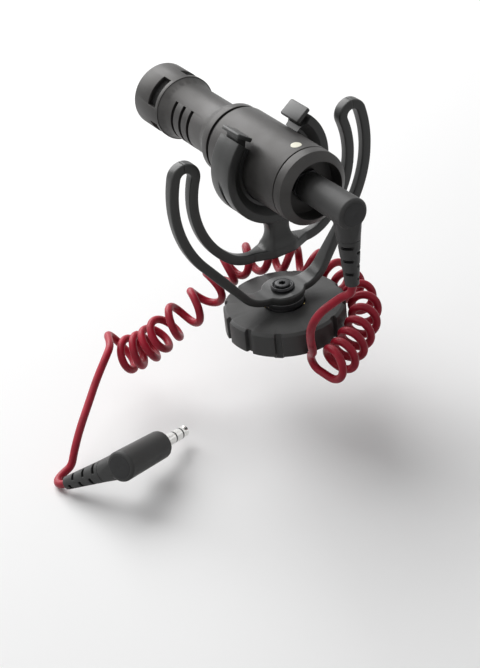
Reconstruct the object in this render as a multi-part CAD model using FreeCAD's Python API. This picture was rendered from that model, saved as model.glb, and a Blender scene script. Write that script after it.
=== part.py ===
import FreeCAD, Part
import math
import os

# Compact on-camera microphone in a lyre shock mount on a shoe clamp, with its curly cord.
# Millimetres. +Z is up, +Y is where the microphone points, and the origin is the middle of
# the shoe foot's underside.

V = FreeCAD.Vector
os.makedirs("parts", exist_ok=True)

# Shoe foot and clamp
foot_width = 18.6
foot_length = 18.0
foot_thickness = 2.0
foot_corner = 1.6
rail_gap = 2.0
neck_width = 12.4
neck_length = 12.4
post_radius = 5.5
post_flat = 4.9
tripod_hole_radius = 3.97
tripod_hole_depth = 7.6
collar_radius = 5.9
collar_height = 1.6
post_rise = 0.9
clamp_travel = 1.2
running_clearance = 0.06
clear_gap = 0.3
overrun = 1.0

# Pressure ring, thumbwheel and its threaded insert
ring_radius = 10.0
ring_height = 1.5
wheel_radius = 17.4
wheel_height = 7.5
wheel_bevel = 0.8
wheel_notches = 12
notch_phase = 20.0
notch_width = 1.9
notch_depth = 1.1
insert_radius = 8.0
wheel_lip = 2.2

# Lyre: outer arms, hairpins, inner arms and the base they grow from
arm_thickness = 2.8
arm_depth = 2.8
base_thickness = 2.6
base_boss_radius = 6.2
base_web_half = 3.4
base_bend_radius = 9.0
base_corner_reach = 10.526
outer_arc_offset = 1.9
outer_arc_rise = 4.95
hairpin_angle = 16.1
hairpin_radius = 3.1
hairpin_gap = 0.05
inner_arc_drop = 1.0
lyre_gap = 9.09
inner_bend_share = 0.474
inner_floor_share = 0.874
base_arm_run = 6.0

# Screw that holds the lyre on the clamp post
screw_radius = 1.9
screw_length = 4.6
screw_head_radius = 2.2
screw_head_height = 0.5
screw_key_flats = 1.7
screw_key_depth = 0.9
washer_radius = 3.4
washer_height = 0.9

# Clip that grips the microphone
mic_radius = 10.5
mic_rise = 4.2
clip_wall = 5.64
clip_half_length = 4.4
clip_land_half = 2.8
clip_funnel_shares = (0.2, 0.59)
clip_gap_angle = 44.0
groove_half_width = 0.8
groove_depth = 1.9
groove_low_angle = 180.0
groove_high_angle = 246.0
tab_width = 5.0
tab_thickness = 1.2
tab_length = 8.0
tab_height_over_mic = 2.4
tab_inner_angle = 57.7
tab_angle = 35.3
tab_neck_shares = (0.24, 0.86)
tab_neck_sink_angle = 3.0
stem_waist_half = 3.3
stem_waist_share = 0.51
stem_top_half = 6.4
stem_depth_half = 2.2
stem_root_half = 3.6

# Microphone: places along its axis, front positive
front_end = 58.0
head_rear = 44.2
neck_cone_rear = 41.7
flare_front = 23.6
collar_front = 18.6
seal_front = 16.4
body_front = 14.9
body_rear = -16.8
band_front = -17.2
band_rear = -20.0
rear_end = -22.0
recess_floor = -17.0
head_radius = 9.46
neck_radius = 8.0
collar_step = 0.3
seal_step = 0.9
seal_width = 1.2
recess_step = 2.45
bevel_step = 0.1
wall = 1.1
head_face_thickness = 1.2
neck_cone_step = 0.2
grille_radius = 7.6
grille_thickness = 0.8
grille_hole_radius = 0.7
grille_pitch = 2.6
head_slot_width = 3.9
head_slot_place = 47.5
head_slot_angle = 58.0
head_slot_count = 4
neck_slot_width = 1.3
neck_slot_first = 30.1
neck_slot_pitch = 4.15
neck_slot_count = 3
neck_slot_angle = 96.0
screen_thickness = 0.3
capsule_radius = 6.0
capsule_length = 7.0
capsule_rear = 20.6
board_thickness = 1.0
board_length = 24.0
jack_radius = 3.5
jack_length = 14.0
jack_bore_radius = 1.81
wire_bundle_radius = 0.5
nut_flats = 8.0
nut_height = 1.1
dot_radius = 1.5
dot_thickness = 0.2
dot_place = -13.9
dot_angle = 90.0

# Angled 3.5 mm plugs
pin_radius = 1.75
pin_length = 14.0
pin_groove_depth = 0.3
pin_ring_length = 0.7
pin_ring_shares = (0.3, 0.05)
pin_waist_share = 0.72
pin_tip_share = 0.9
barrel_length = 16.9
barrel_radius = 4.4
barrel_mouth_radius = 4.1
elbow_face = 3.3
elbow_drop = 8.2
elbow_top_radius = 4.1
elbow_low_radius = 3.15
relief_end = 22.2
relief_tip_radius = 1.9
relief_slots = 6
relief_slot_pitch = 2.05
relief_slot_height = 0.9
relief_slot_core = 0.45
relief_turn = -60.0
relief_first_slot = 1.3
plug_edge = 0.6
far_plug_place = (-60.3, -8.9, -11.0)
far_cord_shares = (-0.53, 0.705, -0.465)
far_pin_shares = (0.85, 0.44, -0.295)

# Cord: wire and coil; the coil's size is a share of its radius after a number of turns
wire_radius = 1.15
coil_radius = 4.4
coil_size_turns = [0, 6, 9, 14, 21]
coil_size_shares = [0.99, 0.80, 0.875, 0.92, 1.04]
coil_start_angle = 191.0
least_coil_gap = 0.4
least_cord_turn = 0.003
exit_run = 2.9
cord_cut_share = 0.45


def box(low, high):
    """A block between two opposite corners."""
    size = high.sub(low)
    return Part.makeBox(size.x, size.y, size.z, low)


def rod(radius, bottom, top):
    """An upright cylinder on the clamp's axis."""
    return Part.makeCylinder(radius, top - bottom, V(0, 0, bottom), V(0, 0, 1))


def turned(profile):
    """A ring turned about the microphone's axis from (place, radius) pairs."""
    corners = [V(0, place, mic_height + radius) for place, radius in profile]
    face = Part.Face(Part.makePolygon(corners + [corners[0]]))
    return face.revolve(V(0, 0, mic_height), V(0, 1, 0), 360)


def wedge(low_angle, high_angle, reach, rear, front):
    """A slice of angles about the microphone's axis, in the XZ plane, from rear to front."""
    steps = max(1, math.ceil((high_angle - low_angle) / 60))
    corners = [V(0, rear, mic_height)]
    for index in range(steps + 1):
        angle = math.radians(low_angle + (high_angle - low_angle) * index / steps)
        corners.append(V(reach * math.cos(angle), rear, mic_height + reach * math.sin(angle)))
    face = Part.Face(Part.makePolygon(corners + [corners[0]]))
    return face.extrude(V(0, front - rear, 0))


def prism(points, half_depth):
    """A plate from an outline of (x, z) pairs, centred on y = 0."""
    corners = [V(x, -half_depth, z) for x, z in points]
    face = Part.Face(Part.makePolygon(corners + [corners[0]]))
    return face.extrude(V(0, 2 * half_depth, 0))


def on_circle(centre, radius, angle):
    """The (x, z) point at an angle, in degrees, on a circle."""
    turn = math.radians(angle)
    return (centre[0] + radius * math.cos(turn), centre[1] + radius * math.sin(turn))


def side_edge(piece, offset, half_depth):
    """One edge of a band: a line or an arc moved sideways from its centreline."""
    if piece[0] == "line":
        (x0, z0), (x1, z1) = piece[1], piece[2]
        length = math.hypot(x1 - x0, z1 - z0)
        shift_x = -(z1 - z0) / length * offset
        shift_z = (x1 - x0) / length * offset
        start = V(x0 + shift_x, -half_depth, z0 + shift_z)
        end = V(x1 + shift_x, -half_depth, z1 + shift_z)
        return Part.LineSegment(start, end).toShape(), start, end
    centre, radius, first, last = piece[1:]
    side = 1 if last > first else -1
    spots = [on_circle(centre, radius - side * offset, angle)
             for angle in (first, (first + last) / 2, last)]
    start, middle, end = [V(x, -half_depth, z) for x, z in spots]
    return Part.Arc(start, middle, end).toShape(), start, end


def band(path, thickness, half_depth):
    """A strip of even thickness that follows a path of lines and arcs in the XZ plane."""
    edges = []
    left = [side_edge(piece, thickness / 2, half_depth) for piece in path]
    right = [side_edge(piece, -thickness / 2, half_depth) for piece in path]
    edges += [entry[0] for entry in left + right]
    edges.append(Part.LineSegment(left[0][1], right[0][1]).toShape())
    edges.append(Part.LineSegment(left[-1][2], right[-1][2]).toShape())
    face = Part.Face(Part.Wire(Part.__sortEdges__(edges)))
    return face.extrude(V(0, 2 * half_depth, 0))


def mirrored(shape):
    """The same piece on the other side of the YZ plane."""
    return shape.mirror(V(0, 0, 0), V(1, 0, 0))


def softened(shape, size, edges):
    """The shape with a small chamfer on the chosen edges."""
    return shape.makeChamfer(size, edges)


nodes = {}


# Shoe foot: a plate that slides under the camera's rails, with a hole for a stand
foot_top = foot_thickness
neck_top = foot_top + rail_gap
plate = box(V(-foot_width / 2, -foot_length / 2, 0), V(foot_width / 2, foot_length / 2, foot_top))
upright = [edge for edge in plate.Edges
           if abs(edge.Vertexes[0].Z - edge.Vertexes[1].Z) > foot_thickness / 2]
plate = softened(plate, foot_corner, upright)
nodes["shoe_foot"] = plate.cut(rod(tripod_hole_radius, -overrun, foot_top + overrun))

# Clamp post: square neck between the rails, then a round post with two flats
wheel_bottom = neck_top + clear_gap / 2
post_top = wheel_bottom + wheel_height + clamp_travel + post_rise
collar_bottom = post_top - collar_height
neck = box(V(-neck_width / 2, -neck_length / 2, foot_top), V(neck_width / 2, neck_length / 2, neck_top))
post = rod(post_radius, neck_top, post_top)
post = post.common(box(V(-post_radius - overrun, -post_flat, 0),
                       V(post_radius + overrun, post_flat, post_top)))
post = neck.fuse(post).removeSplitter()
post = post.cut(rod(tripod_hole_radius, foot_top - overrun, tripod_hole_depth))
post = post.cut(rod(screw_radius, post_top - screw_length, post_top + overrun))
nodes["clamp_post"] = post

# Glossy collar round the top of the post, which keeps the wheel from leaving it
collar = rod(collar_radius, collar_bottom, post_top)
hole = rod(post_radius, collar_bottom - overrun, post_top + overrun)
hole = hole.common(box(V(-post_radius - overrun, -post_flat, 0),
                       V(post_radius + overrun, post_flat, post_top + overrun)))
nodes["post_collar"] = collar.cut(hole)

# Pressure ring: rides on the post's flats and bears on the rails
ring_top = neck_top + ring_height
ring = rod(ring_radius, neck_top, ring_top)
ring_hole = rod(post_radius + running_clearance, 0, post_top)
flat_half = post_flat + running_clearance
ring_hole = ring_hole.common(box(V(-ring_radius, -flat_half, 0), V(ring_radius, flat_half, post_top)))
nodes["pressure_ring"] = ring.cut(ring_hole)

# Thumbwheel: twelve notches in its rim, a bevelled top edge and a stepped bore
wheel_top = wheel_bottom + wheel_height
wheel = rod(wheel_radius, wheel_bottom, wheel_top)
top_rim = [edge for edge in wheel.Edges if abs(edge.BoundBox.ZMin - wheel_top) < running_clearance
           and edge.BoundBox.ZLength < running_clearance]
wheel = softened(wheel, wheel_bevel, top_rim)
insert_bottom = ring_top + clear_gap
insert_top = wheel_top - wheel_lip
wheel = wheel.cut(rod(ring_radius + clear_gap, wheel_bottom - overrun, insert_bottom))
wheel = wheel.cut(rod(insert_radius, insert_bottom - overrun, insert_top))
wheel = wheel.cut(rod(collar_radius + clear_gap, insert_top - overrun, wheel_top + overrun))
for index in range(wheel_notches):
    notch = box(V(wheel_radius - notch_depth, -notch_width / 2, wheel_bottom - overrun),
                V(wheel_radius + overrun, notch_width / 2, wheel_top + overrun))
    notch.rotate(V(0, 0, 0), V(0, 0, 1), notch_phase + 360 * index / wheel_notches)
    wheel = wheel.cut(notch)
nodes["thumbwheel"] = wheel
insert = rod(insert_radius, insert_bottom, insert_top)
nodes["wheel_insert"] = insert.cut(rod(post_radius + running_clearance, 0, post_top))

# Lyre geometry: tangent arcs, worked out for the right-hand side. The inner arc clears the clip,
# the hairpin joins it to the outer arc, and the outer arc ends on a straight foot that meets it square
base_floor = post_top + base_thickness / 2
clip_bore = mic_radius + running_clearance
clip_outer_radius = clip_bore + clip_wall
inner_arc_radius = clip_outer_radius + lyre_gap
hairpin_turn = math.radians(hairpin_angle)
join_lean = inner_arc_drop * math.sin(hairpin_turn) - outer_arc_offset * math.cos(hairpin_turn)
join_reach = math.sqrt(join_lean ** 2 - outer_arc_offset ** 2 - inner_arc_drop ** 2
                       + (inner_arc_radius + hairpin_radius) ** 2)
outer_arc_radius = join_reach - join_lean + hairpin_radius
outer_centre = (-outer_arc_offset, base_floor + outer_arc_rise + outer_arc_radius)
hairpin_join = on_circle(outer_centre, outer_arc_radius, hairpin_angle)
hairpin_centre = on_circle(hairpin_join, -hairpin_radius, hairpin_angle)
inner_centre = (0, outer_centre[1] - inner_arc_drop)
rise = hairpin_centre[1] - inner_centre[1]
inner_top_angle = math.degrees(math.atan2(rise, hairpin_centre[0]))
mic_height = inner_centre[1] + mic_rise
inner_bend_radius = inner_bend_share * inner_arc_radius
inner_floor_height = inner_centre[1] - inner_floor_share * inner_arc_radius
bend_height = inner_floor_height + inner_bend_radius
bend_angle = math.degrees(math.asin((inner_centre[1] - bend_height)
                                    / (inner_arc_radius - inner_bend_radius)))
bend_centre = on_circle(inner_centre, inner_arc_radius - inner_bend_radius, -bend_angle)
corner = (base_corner_reach, base_floor)
corner_way = math.degrees(math.atan2(outer_centre[1] - corner[1], corner[0] - outer_centre[0]))
outer_arc_low_angle = corner_way - math.degrees(math.acos(outer_arc_radius / math.dist(outer_centre, corner)))
arm_foot = on_circle(outer_centre, outer_arc_radius, -outer_arc_low_angle)
slope = 90 - outer_arc_low_angle
corner_run = base_bend_radius * math.tan(math.radians(slope / 2))
bend_end = on_circle(corner, corner_run, slope)
base_end = on_circle(bend_end, base_arm_run, slope)
base_bend_centre = (corner[0] - corner_run, base_floor + base_bend_radius)

# Base: a dished web as thick as the arms, wide round the screw and narrow at the arms
mirror_x = [(-x, z) for x, z in (base_end, bend_end)]
base_path = [
    ("line", mirror_x[0], mirror_x[1]),
    ("arc", (-base_bend_centre[0], base_bend_centre[1]), base_bend_radius, 270 - slope, 270),
    ("line", (-base_bend_centre[0], base_floor), (base_bend_centre[0], base_floor)),
    ("arc", base_bend_centre, base_bend_radius, 270, 270 + slope),
    ("line", bend_end, base_end),
]
base = band(base_path, base_thickness, base_boss_radius + overrun)
arm_half = arm_depth / 2
base_web_reach = base_end[0] + base_thickness
web_points = [(-base_web_reach, arm_half), (-base_web_reach, -arm_half),
              (-base_boss_radius / 2, -base_web_half), (base_boss_radius / 2, -base_web_half),
              (base_web_reach, -arm_half), (base_web_reach, arm_half),
              (base_boss_radius / 2, base_web_half), (-base_boss_radius / 2, base_web_half)]
web_corners = [V(x, y, 0) for x, y in web_points]
web_top = base_end[1] + base_thickness
web = Part.Face(Part.makePolygon(web_corners + [web_corners[0]])).extrude(V(0, 0, web_top))
plan = web.fuse(rod(base_boss_radius, 0, web_top)).removeSplitter()
base = base.common(plan)
base = base.cut(rod(screw_radius, post_top - overrun, web_top))
nodes["lyre_base"] = base

# Outer arms: from the base to the top of each hairpin
outer_path = [
    ("line", base_end, arm_foot),
    ("arc", outer_centre, outer_arc_radius, -outer_arc_low_angle, hairpin_angle),
    ("arc", hairpin_centre, hairpin_radius, hairpin_angle, 90),
]
outer_arm = band(outer_path, arm_thickness, arm_half)
hinge_plane = hairpin_centre[0] + hairpin_gap
sky = 2 * mic_height
outer_arm = outer_arm.common(box(V(0, -arm_depth, 0), V(sky, arm_depth, sky)))
outer_arm = outer_arm.cut(box(V(0, -arm_depth, hairpin_centre[1]), V(hinge_plane, arm_depth, sky)))
nodes["lyre_outer_right"] = outer_arm
nodes["lyre_outer_left"] = mirrored(outer_arm)

# Inner arms: from the top of each hairpin down to the floor under the clip
inner_path = [
    ("arc", hairpin_centre, hairpin_radius, 90, 180 + inner_top_angle),
    ("arc", inner_centre, inner_arc_radius, inner_top_angle, -bend_angle),
    ("arc", bend_centre, inner_bend_radius, -bend_angle, -90),
]
inner_arm = band(inner_path, arm_thickness, arm_half)
inner_arm = inner_arm.cut(box(V(hairpin_centre[0] - hairpin_gap, -arm_depth, hairpin_centre[1]),
                              V(sky, arm_depth, sky)))
nodes["lyre_inner_right"] = inner_arm
nodes["lyre_inner_left"] = mirrored(inner_arm)

# Stem: floor bar between the inner arms and a waisted stem up to the clip
floor_low = inner_floor_height - arm_thickness / 2
floor_high = inner_floor_height + arm_thickness / 2
stem_top = mic_height - clip_outer_radius * math.cos(math.asin(stem_top_half / clip_outer_radius))
stem_waist_height = floor_high + stem_waist_share * (stem_top - floor_high)
half_outline = [(bend_centre[0], floor_low), (bend_centre[0], floor_high),
                (stem_top_half, floor_high), (stem_waist_half, stem_waist_height),
                (stem_top_half, stem_top)]
front_edges = [Part.LineSegment(V(half_outline[0][0], 0, floor_low),
                                V(half_outline[1][0], 0, floor_high)).toShape()]


def hollow_arc(start, end, pull):
    """An arc between two (x, z) points that bows towards the middle plane."""
    middle = ((start[0] + end[0]) / 2 - pull, (start[1] + end[1]) / 2)
    spots = [V(x, 0, z) for x, z in (start, middle, end)]
    return Part.Arc(*spots).toShape()


side_pull = (stem_top_half - stem_waist_half) / 4
low_arc = hollow_arc((bend_centre[0], floor_high), (stem_waist_half, stem_waist_height), side_pull)
high_arc = hollow_arc((stem_waist_half, stem_waist_height), (stem_top_half, stem_top), side_pull / 2)
right_edges = [front_edges[0], low_arc, high_arc]
left_edges = [mirrored(edge) for edge in right_edges]
top_edge = Part.LineSegment(V(stem_top_half, 0, stem_top), V(-stem_top_half, 0, stem_top)).toShape()
low_edge = Part.LineSegment(V(bend_centre[0], 0, floor_low), V(-bend_centre[0], 0, floor_low)).toShape()
outline = Part.Wire(Part.__sortEdges__(right_edges + left_edges + [top_edge, low_edge]))
stem_face = Part.Face(outline)
stem_face.translate(V(0, -stem_root_half - overrun, 0))
stem = stem_face.extrude(V(0, 2 * (stem_root_half + overrun), 0))
side_points = [(-stem_root_half, 0), (-stem_root_half, floor_high), (-stem_depth_half, stem_waist_height),
               (-stem_depth_half, sky), (stem_depth_half, sky), (stem_depth_half, stem_waist_height),
               (stem_root_half, floor_high), (stem_root_half, 0)]
side_corners = [V(-sky, y, z) for y, z in side_points]
side = Part.Face(Part.makePolygon(side_corners + [side_corners[0]])).extrude(V(2 * sky, 0, 0))
bar_points = [(-bend_centre[0], -arm_half), (-stem_waist_half, -stem_root_half),
              (stem_waist_half, -stem_root_half), (bend_centre[0], -arm_half),
              (bend_centre[0], arm_half), (stem_waist_half, stem_root_half),
              (-stem_waist_half, stem_root_half), (-bend_centre[0], arm_half)]
bar_corners = [V(x, y, 0) for x, y in bar_points]
bar = Part.Face(Part.makePolygon(bar_corners + [bar_corners[0]])).extrude(V(0, 0, sky))
stem = stem.common(side).common(bar)
clip_round = Part.makeCylinder(clip_outer_radius, 2 * sky, V(0, -sky, mic_height), V(0, 1, 0))
nodes["clip_stem"] = stem.cut(clip_round)

# Clip: an open ring with funnel mouths, a groove low on each side and two finger tabs
clip_funnel_small, clip_funnel_large = [clip_bore + clip_wall * share for share in clip_funnel_shares]
clip_profile = [(-clip_half_length, clip_outer_radius), (-clip_half_length, clip_funnel_large),
                (-clip_land_half, clip_funnel_small), (-clip_land_half, clip_bore),
                (clip_land_half, clip_bore), (clip_land_half, clip_funnel_small),
                (clip_half_length, clip_funnel_large), (clip_half_length, clip_outer_radius)]
clip = turned(clip_profile)
clip = clip.cut(wedge(clip_gap_angle, 180 - clip_gap_angle, sky, -sky, sky))
groove_ring = Part.makeCylinder(clip_outer_radius + overrun, 2 * groove_half_width,
                                V(0, -groove_half_width, mic_height), V(0, 1, 0))
groove_core = Part.makeCylinder(clip_outer_radius, 2 * groove_half_width + 2 * overrun,
                                V(0, -groove_half_width - overrun, mic_height + groove_depth), V(0, 1, 0))
groove = groove_ring.cut(groove_core)
left_slice = wedge(groove_low_angle, groove_high_angle, sky, -sky, sky)
left_groove = groove.common(left_slice)
clip = clip.cut(left_groove).cut(mirrored(left_groove))
tab_turn = math.radians(tab_angle)
tab_along = (math.cos(tab_turn), math.sin(tab_turn))
tab_down = (math.sin(tab_turn), -math.cos(tab_turn))
tab_low = on_circle((0, mic_height), mic_radius + tab_height_over_mic, tab_inner_angle)
tab_high = (tab_low[0] + tab_width * tab_along[0], tab_low[1] + tab_width * tab_along[1])
tab_plate = [tab_low, tab_high,
             (tab_high[0] + tab_thickness * tab_down[0], tab_high[1] + tab_thickness * tab_down[1]),
             (tab_low[0] + tab_thickness * tab_down[0], tab_low[1] + tab_thickness * tab_down[1])]
neck_upper = [(tab_plate[3][0] + tab_width * share * tab_along[0] - tab_thickness / 2 * tab_down[0],
               tab_plate[3][1] + tab_width * share * tab_along[1] - tab_thickness / 2 * tab_down[1])
              for share in tab_neck_shares]
neck_low_angle = clip_gap_angle - tab_neck_sink_angle
neck_inner = on_circle((0, mic_height), clip_funnel_small, neck_low_angle)
neck_outer = on_circle((0, mic_height), clip_outer_radius - tab_thickness, neck_low_angle)
tab = prism(tab_plate, tab_length / 2)
tab_neck = prism([neck_inner, neck_outer, neck_upper[1], neck_upper[0]], tab_length / 2 - tab_thickness)
tab = tab.fuse(tab_neck).removeSplitter()
clip = clip.fuse([tab, mirrored(tab)]).removeSplitter()
nodes["mic_clip"] = clip

# Washer and socket screw on top of the base
base_top = post_top + base_thickness
washer_top = base_top + washer_height
washer = rod(washer_radius, base_top, washer_top)
nodes["screw_washer"] = washer.cut(rod(screw_radius + running_clearance, 0, washer_top + overrun))
screw = rod(screw_radius, post_top - screw_length, washer_top)
screw = screw.fuse(rod(screw_head_radius, washer_top, washer_top + screw_head_height)).removeSplitter()
key_radius = screw_key_flats / math.sqrt(3)
key_corners = [V(key_radius * math.cos(math.radians(60 * index)),
                 key_radius * math.sin(math.radians(60 * index)),
                 washer_top + screw_head_height - screw_key_depth) for index in range(6)]
key = Part.Face(Part.makePolygon(key_corners + [key_corners[0]])).extrude(V(0, 0, overrun))
nodes["mount_screw"] = screw.cut(key)

# Microphone head: slotted shell with a closed rim round the grille
head_inner = head_radius - wall
head = turned([(head_rear, neck_radius), (head_rear, head_radius), (front_end - wall, head_radius),
               (front_end, head_radius - wall), (front_end, grille_radius),
               (front_end - head_face_thickness, grille_radius),
               (front_end - head_face_thickness, head_inner), (head_rear + wall, head_inner),
               (head_rear + wall, neck_radius)])
for index in range(head_slot_count):
    middle = 360 * index / head_slot_count + 360 / head_slot_count / 2
    slot = wedge(middle - head_slot_angle / 2, middle + head_slot_angle / 2, 2 * head_radius,
                 head_slot_place - head_slot_width / 2, head_slot_place + head_slot_width / 2)
    head = head.cut(slot)
nodes["head_shell"] = head

# Front grille: a round plate with a hexagonal pattern of holes
grille = turned([(front_end - head_face_thickness, 0), (front_end - head_face_thickness, head_inner),
                 (front_end - head_face_thickness - grille_thickness, head_inner),
                 (front_end - head_face_thickness - grille_thickness, 0)])
for row in range(-2, 3):
    for column in range(-2, 3):
        if abs(row + column) > 2:
            continue
        hole_x = grille_pitch * (column + row / 2)
        hole_z = mic_height + grille_pitch * row * math.sqrt(3) / 2
        grille = grille.cut(Part.makeCylinder(grille_hole_radius, 4 * grille_thickness,
                                              V(hole_x, front_end - 4 * grille_thickness, hole_z),
                                              V(0, 1, 0)))
nodes["front_grille"] = grille

# Neck: the slimmer slotted tube and its flare into the body
neck_inner_radius = neck_radius - wall
collar_outer_radius = mic_radius - collar_step
flare_middle = (flare_front + collar_front) / 2
flare_middle_radius = neck_radius + (collar_outer_radius - neck_radius) / 3
neck_tube = turned([(head_rear + wall, neck_inner_radius), (head_rear + wall, neck_radius),
                    (head_rear, neck_radius), (head_rear, head_radius - neck_cone_step),
                    (neck_cone_rear, neck_radius), (flare_front, neck_radius), (flare_middle, flare_middle_radius),
                    (collar_front, collar_outer_radius), (seal_front, collar_outer_radius),
                    (seal_front, neck_inner_radius)])
for index in range(neck_slot_count):
    place = neck_slot_first + neck_slot_pitch * index
    for middle in (0, 180):
        slot = wedge(middle - neck_slot_angle / 2, middle + neck_slot_angle / 2, 2 * neck_radius,
                     place - neck_slot_width / 2, place + neck_slot_width / 2)
        neck_tube = neck_tube.cut(slot)
nodes["neck_tube"] = neck_tube

# Fine screens behind the slots
nodes["head_screen"] = turned([
    (head_rear + wall, head_inner - screen_thickness), (head_rear + wall, head_inner),
    (front_end - head_face_thickness - grille_thickness, head_inner),
    (front_end - head_face_thickness - grille_thickness, head_inner - screen_thickness)])
nodes["neck_screen"] = turned([
    (capsule_rear + capsule_length, neck_inner_radius - screen_thickness),
    (capsule_rear + capsule_length, neck_inner_radius), (head_rear, neck_inner_radius),
    (head_rear, neck_inner_radius - screen_thickness)])

# Capsule in its rubber ring
nodes["capsule"] = turned([(capsule_rear, 0), (capsule_rear, capsule_radius),
                           (capsule_rear + capsule_length, capsule_radius),
                           (capsule_rear + capsule_length, 0)])
nodes["capsule_ring"] = turned([
    (capsule_rear, capsule_radius), (capsule_rear, neck_inner_radius),
    (capsule_rear + capsule_length, neck_inner_radius), (capsule_rear + capsule_length, capsule_radius)])

# Seal between neck and body
tube_inner_radius = mic_radius - wall
seal_radius = mic_radius - seal_step
seal_inner_radius = seal_radius - seal_width
nodes["front_seal"] = turned([(body_front, seal_inner_radius), (body_front, seal_radius),
                              (seal_front, seal_radius), (seal_front, seal_inner_radius)])

# Body tube with a shallow seat for the marker dot
body_tube = turned([(body_rear, tube_inner_radius), (body_rear, mic_radius - dot_thickness),
                    (body_rear + dot_thickness, mic_radius), (body_front - dot_thickness, mic_radius),
                    (body_front, mic_radius - dot_thickness), (body_front, tube_inner_radius)])
dot_turn = math.radians(dot_angle)
dot_out = V(math.cos(dot_turn), 0, math.sin(dot_turn))
dot_base = V(0, dot_place, mic_height) + dot_out * (mic_radius - dot_thickness * 2)
dot_drill = Part.makeCylinder(dot_radius, dot_thickness * 4, dot_base, dot_out)
dot_skin = turned([(body_rear, mic_radius - dot_thickness), (body_rear, mic_radius),
                   (body_front, mic_radius), (body_front, mic_radius - dot_thickness)])
marker_dot = dot_skin.common(dot_drill)
nodes["marker_dot"] = marker_dot
nodes["body_tube"] = body_tube.cut(marker_dot)

# Rear cap: a band, a wide bevel and a deep recess for the jack
groove_floor = mic_radius - wall / 2
recess_radius = mic_radius - recess_step
bevel_radius = mic_radius - bevel_step
nodes["rear_cap"] = turned([
    (recess_floor + wall, jack_radius), (recess_floor + wall, tube_inner_radius),
    (body_rear, tube_inner_radius), (body_rear, groove_floor), (band_front, groove_floor),
    (band_front, mic_radius), (band_rear, bevel_radius), (rear_end, recess_radius),
    (recess_floor, recess_radius), (recess_floor, jack_radius)])

# Jack, its nut, and the circuit board that carries it
jack_front = recess_floor + jack_length
jack = turned([(recess_floor, jack_bore_radius), (recess_floor, jack_radius),
               (jack_front, jack_radius), (jack_front, jack_bore_radius)])
nodes["jack_socket"] = jack
nut_round = nut_flats / math.sqrt(3)
nut_corners = [V(nut_round * math.cos(math.radians(60 * index)), recess_floor - nut_height,
                 mic_height + nut_round * math.sin(math.radians(60 * index))) for index in range(6)]
nut = Part.Face(Part.makePolygon(nut_corners + [nut_corners[0]])).extrude(V(0, nut_height, 0))
nut_bore = turned([(recess_floor - overrun - nut_height, 0), (recess_floor + overrun, 0),
                   (recess_floor + overrun, jack_bore_radius),
                   (recess_floor - overrun - nut_height, jack_bore_radius)])
nodes["jack_nut"] = nut.cut(nut_bore)
board_top = mic_height - jack_radius
board_half = math.sqrt(tube_inner_radius ** 2 - (jack_radius + board_thickness) ** 2)
board_rear = recess_floor + wall
nodes["circuit_board"] = box(V(-board_half, board_rear, board_top - board_thickness),
                             V(board_half, board_rear + board_length, board_top))

# Wires from the capsule back to the board, one on each side of the jack
wire_room = math.sqrt(capsule_radius ** 2 - jack_radius ** 2)
wire_side = (wire_room + jack_radius) / 2
wires = []
for sign in (-1, 1):
    wires.append(Part.makeCylinder(wire_bundle_radius, capsule_rear - board_rear - board_length / 2,
                                   V(sign * wire_side, board_rear + board_length / 2,
                                     board_top + wire_bundle_radius), V(0, 1, 0)))
nodes["capsule_wires"] = Part.makeCompound(wires)


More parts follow.
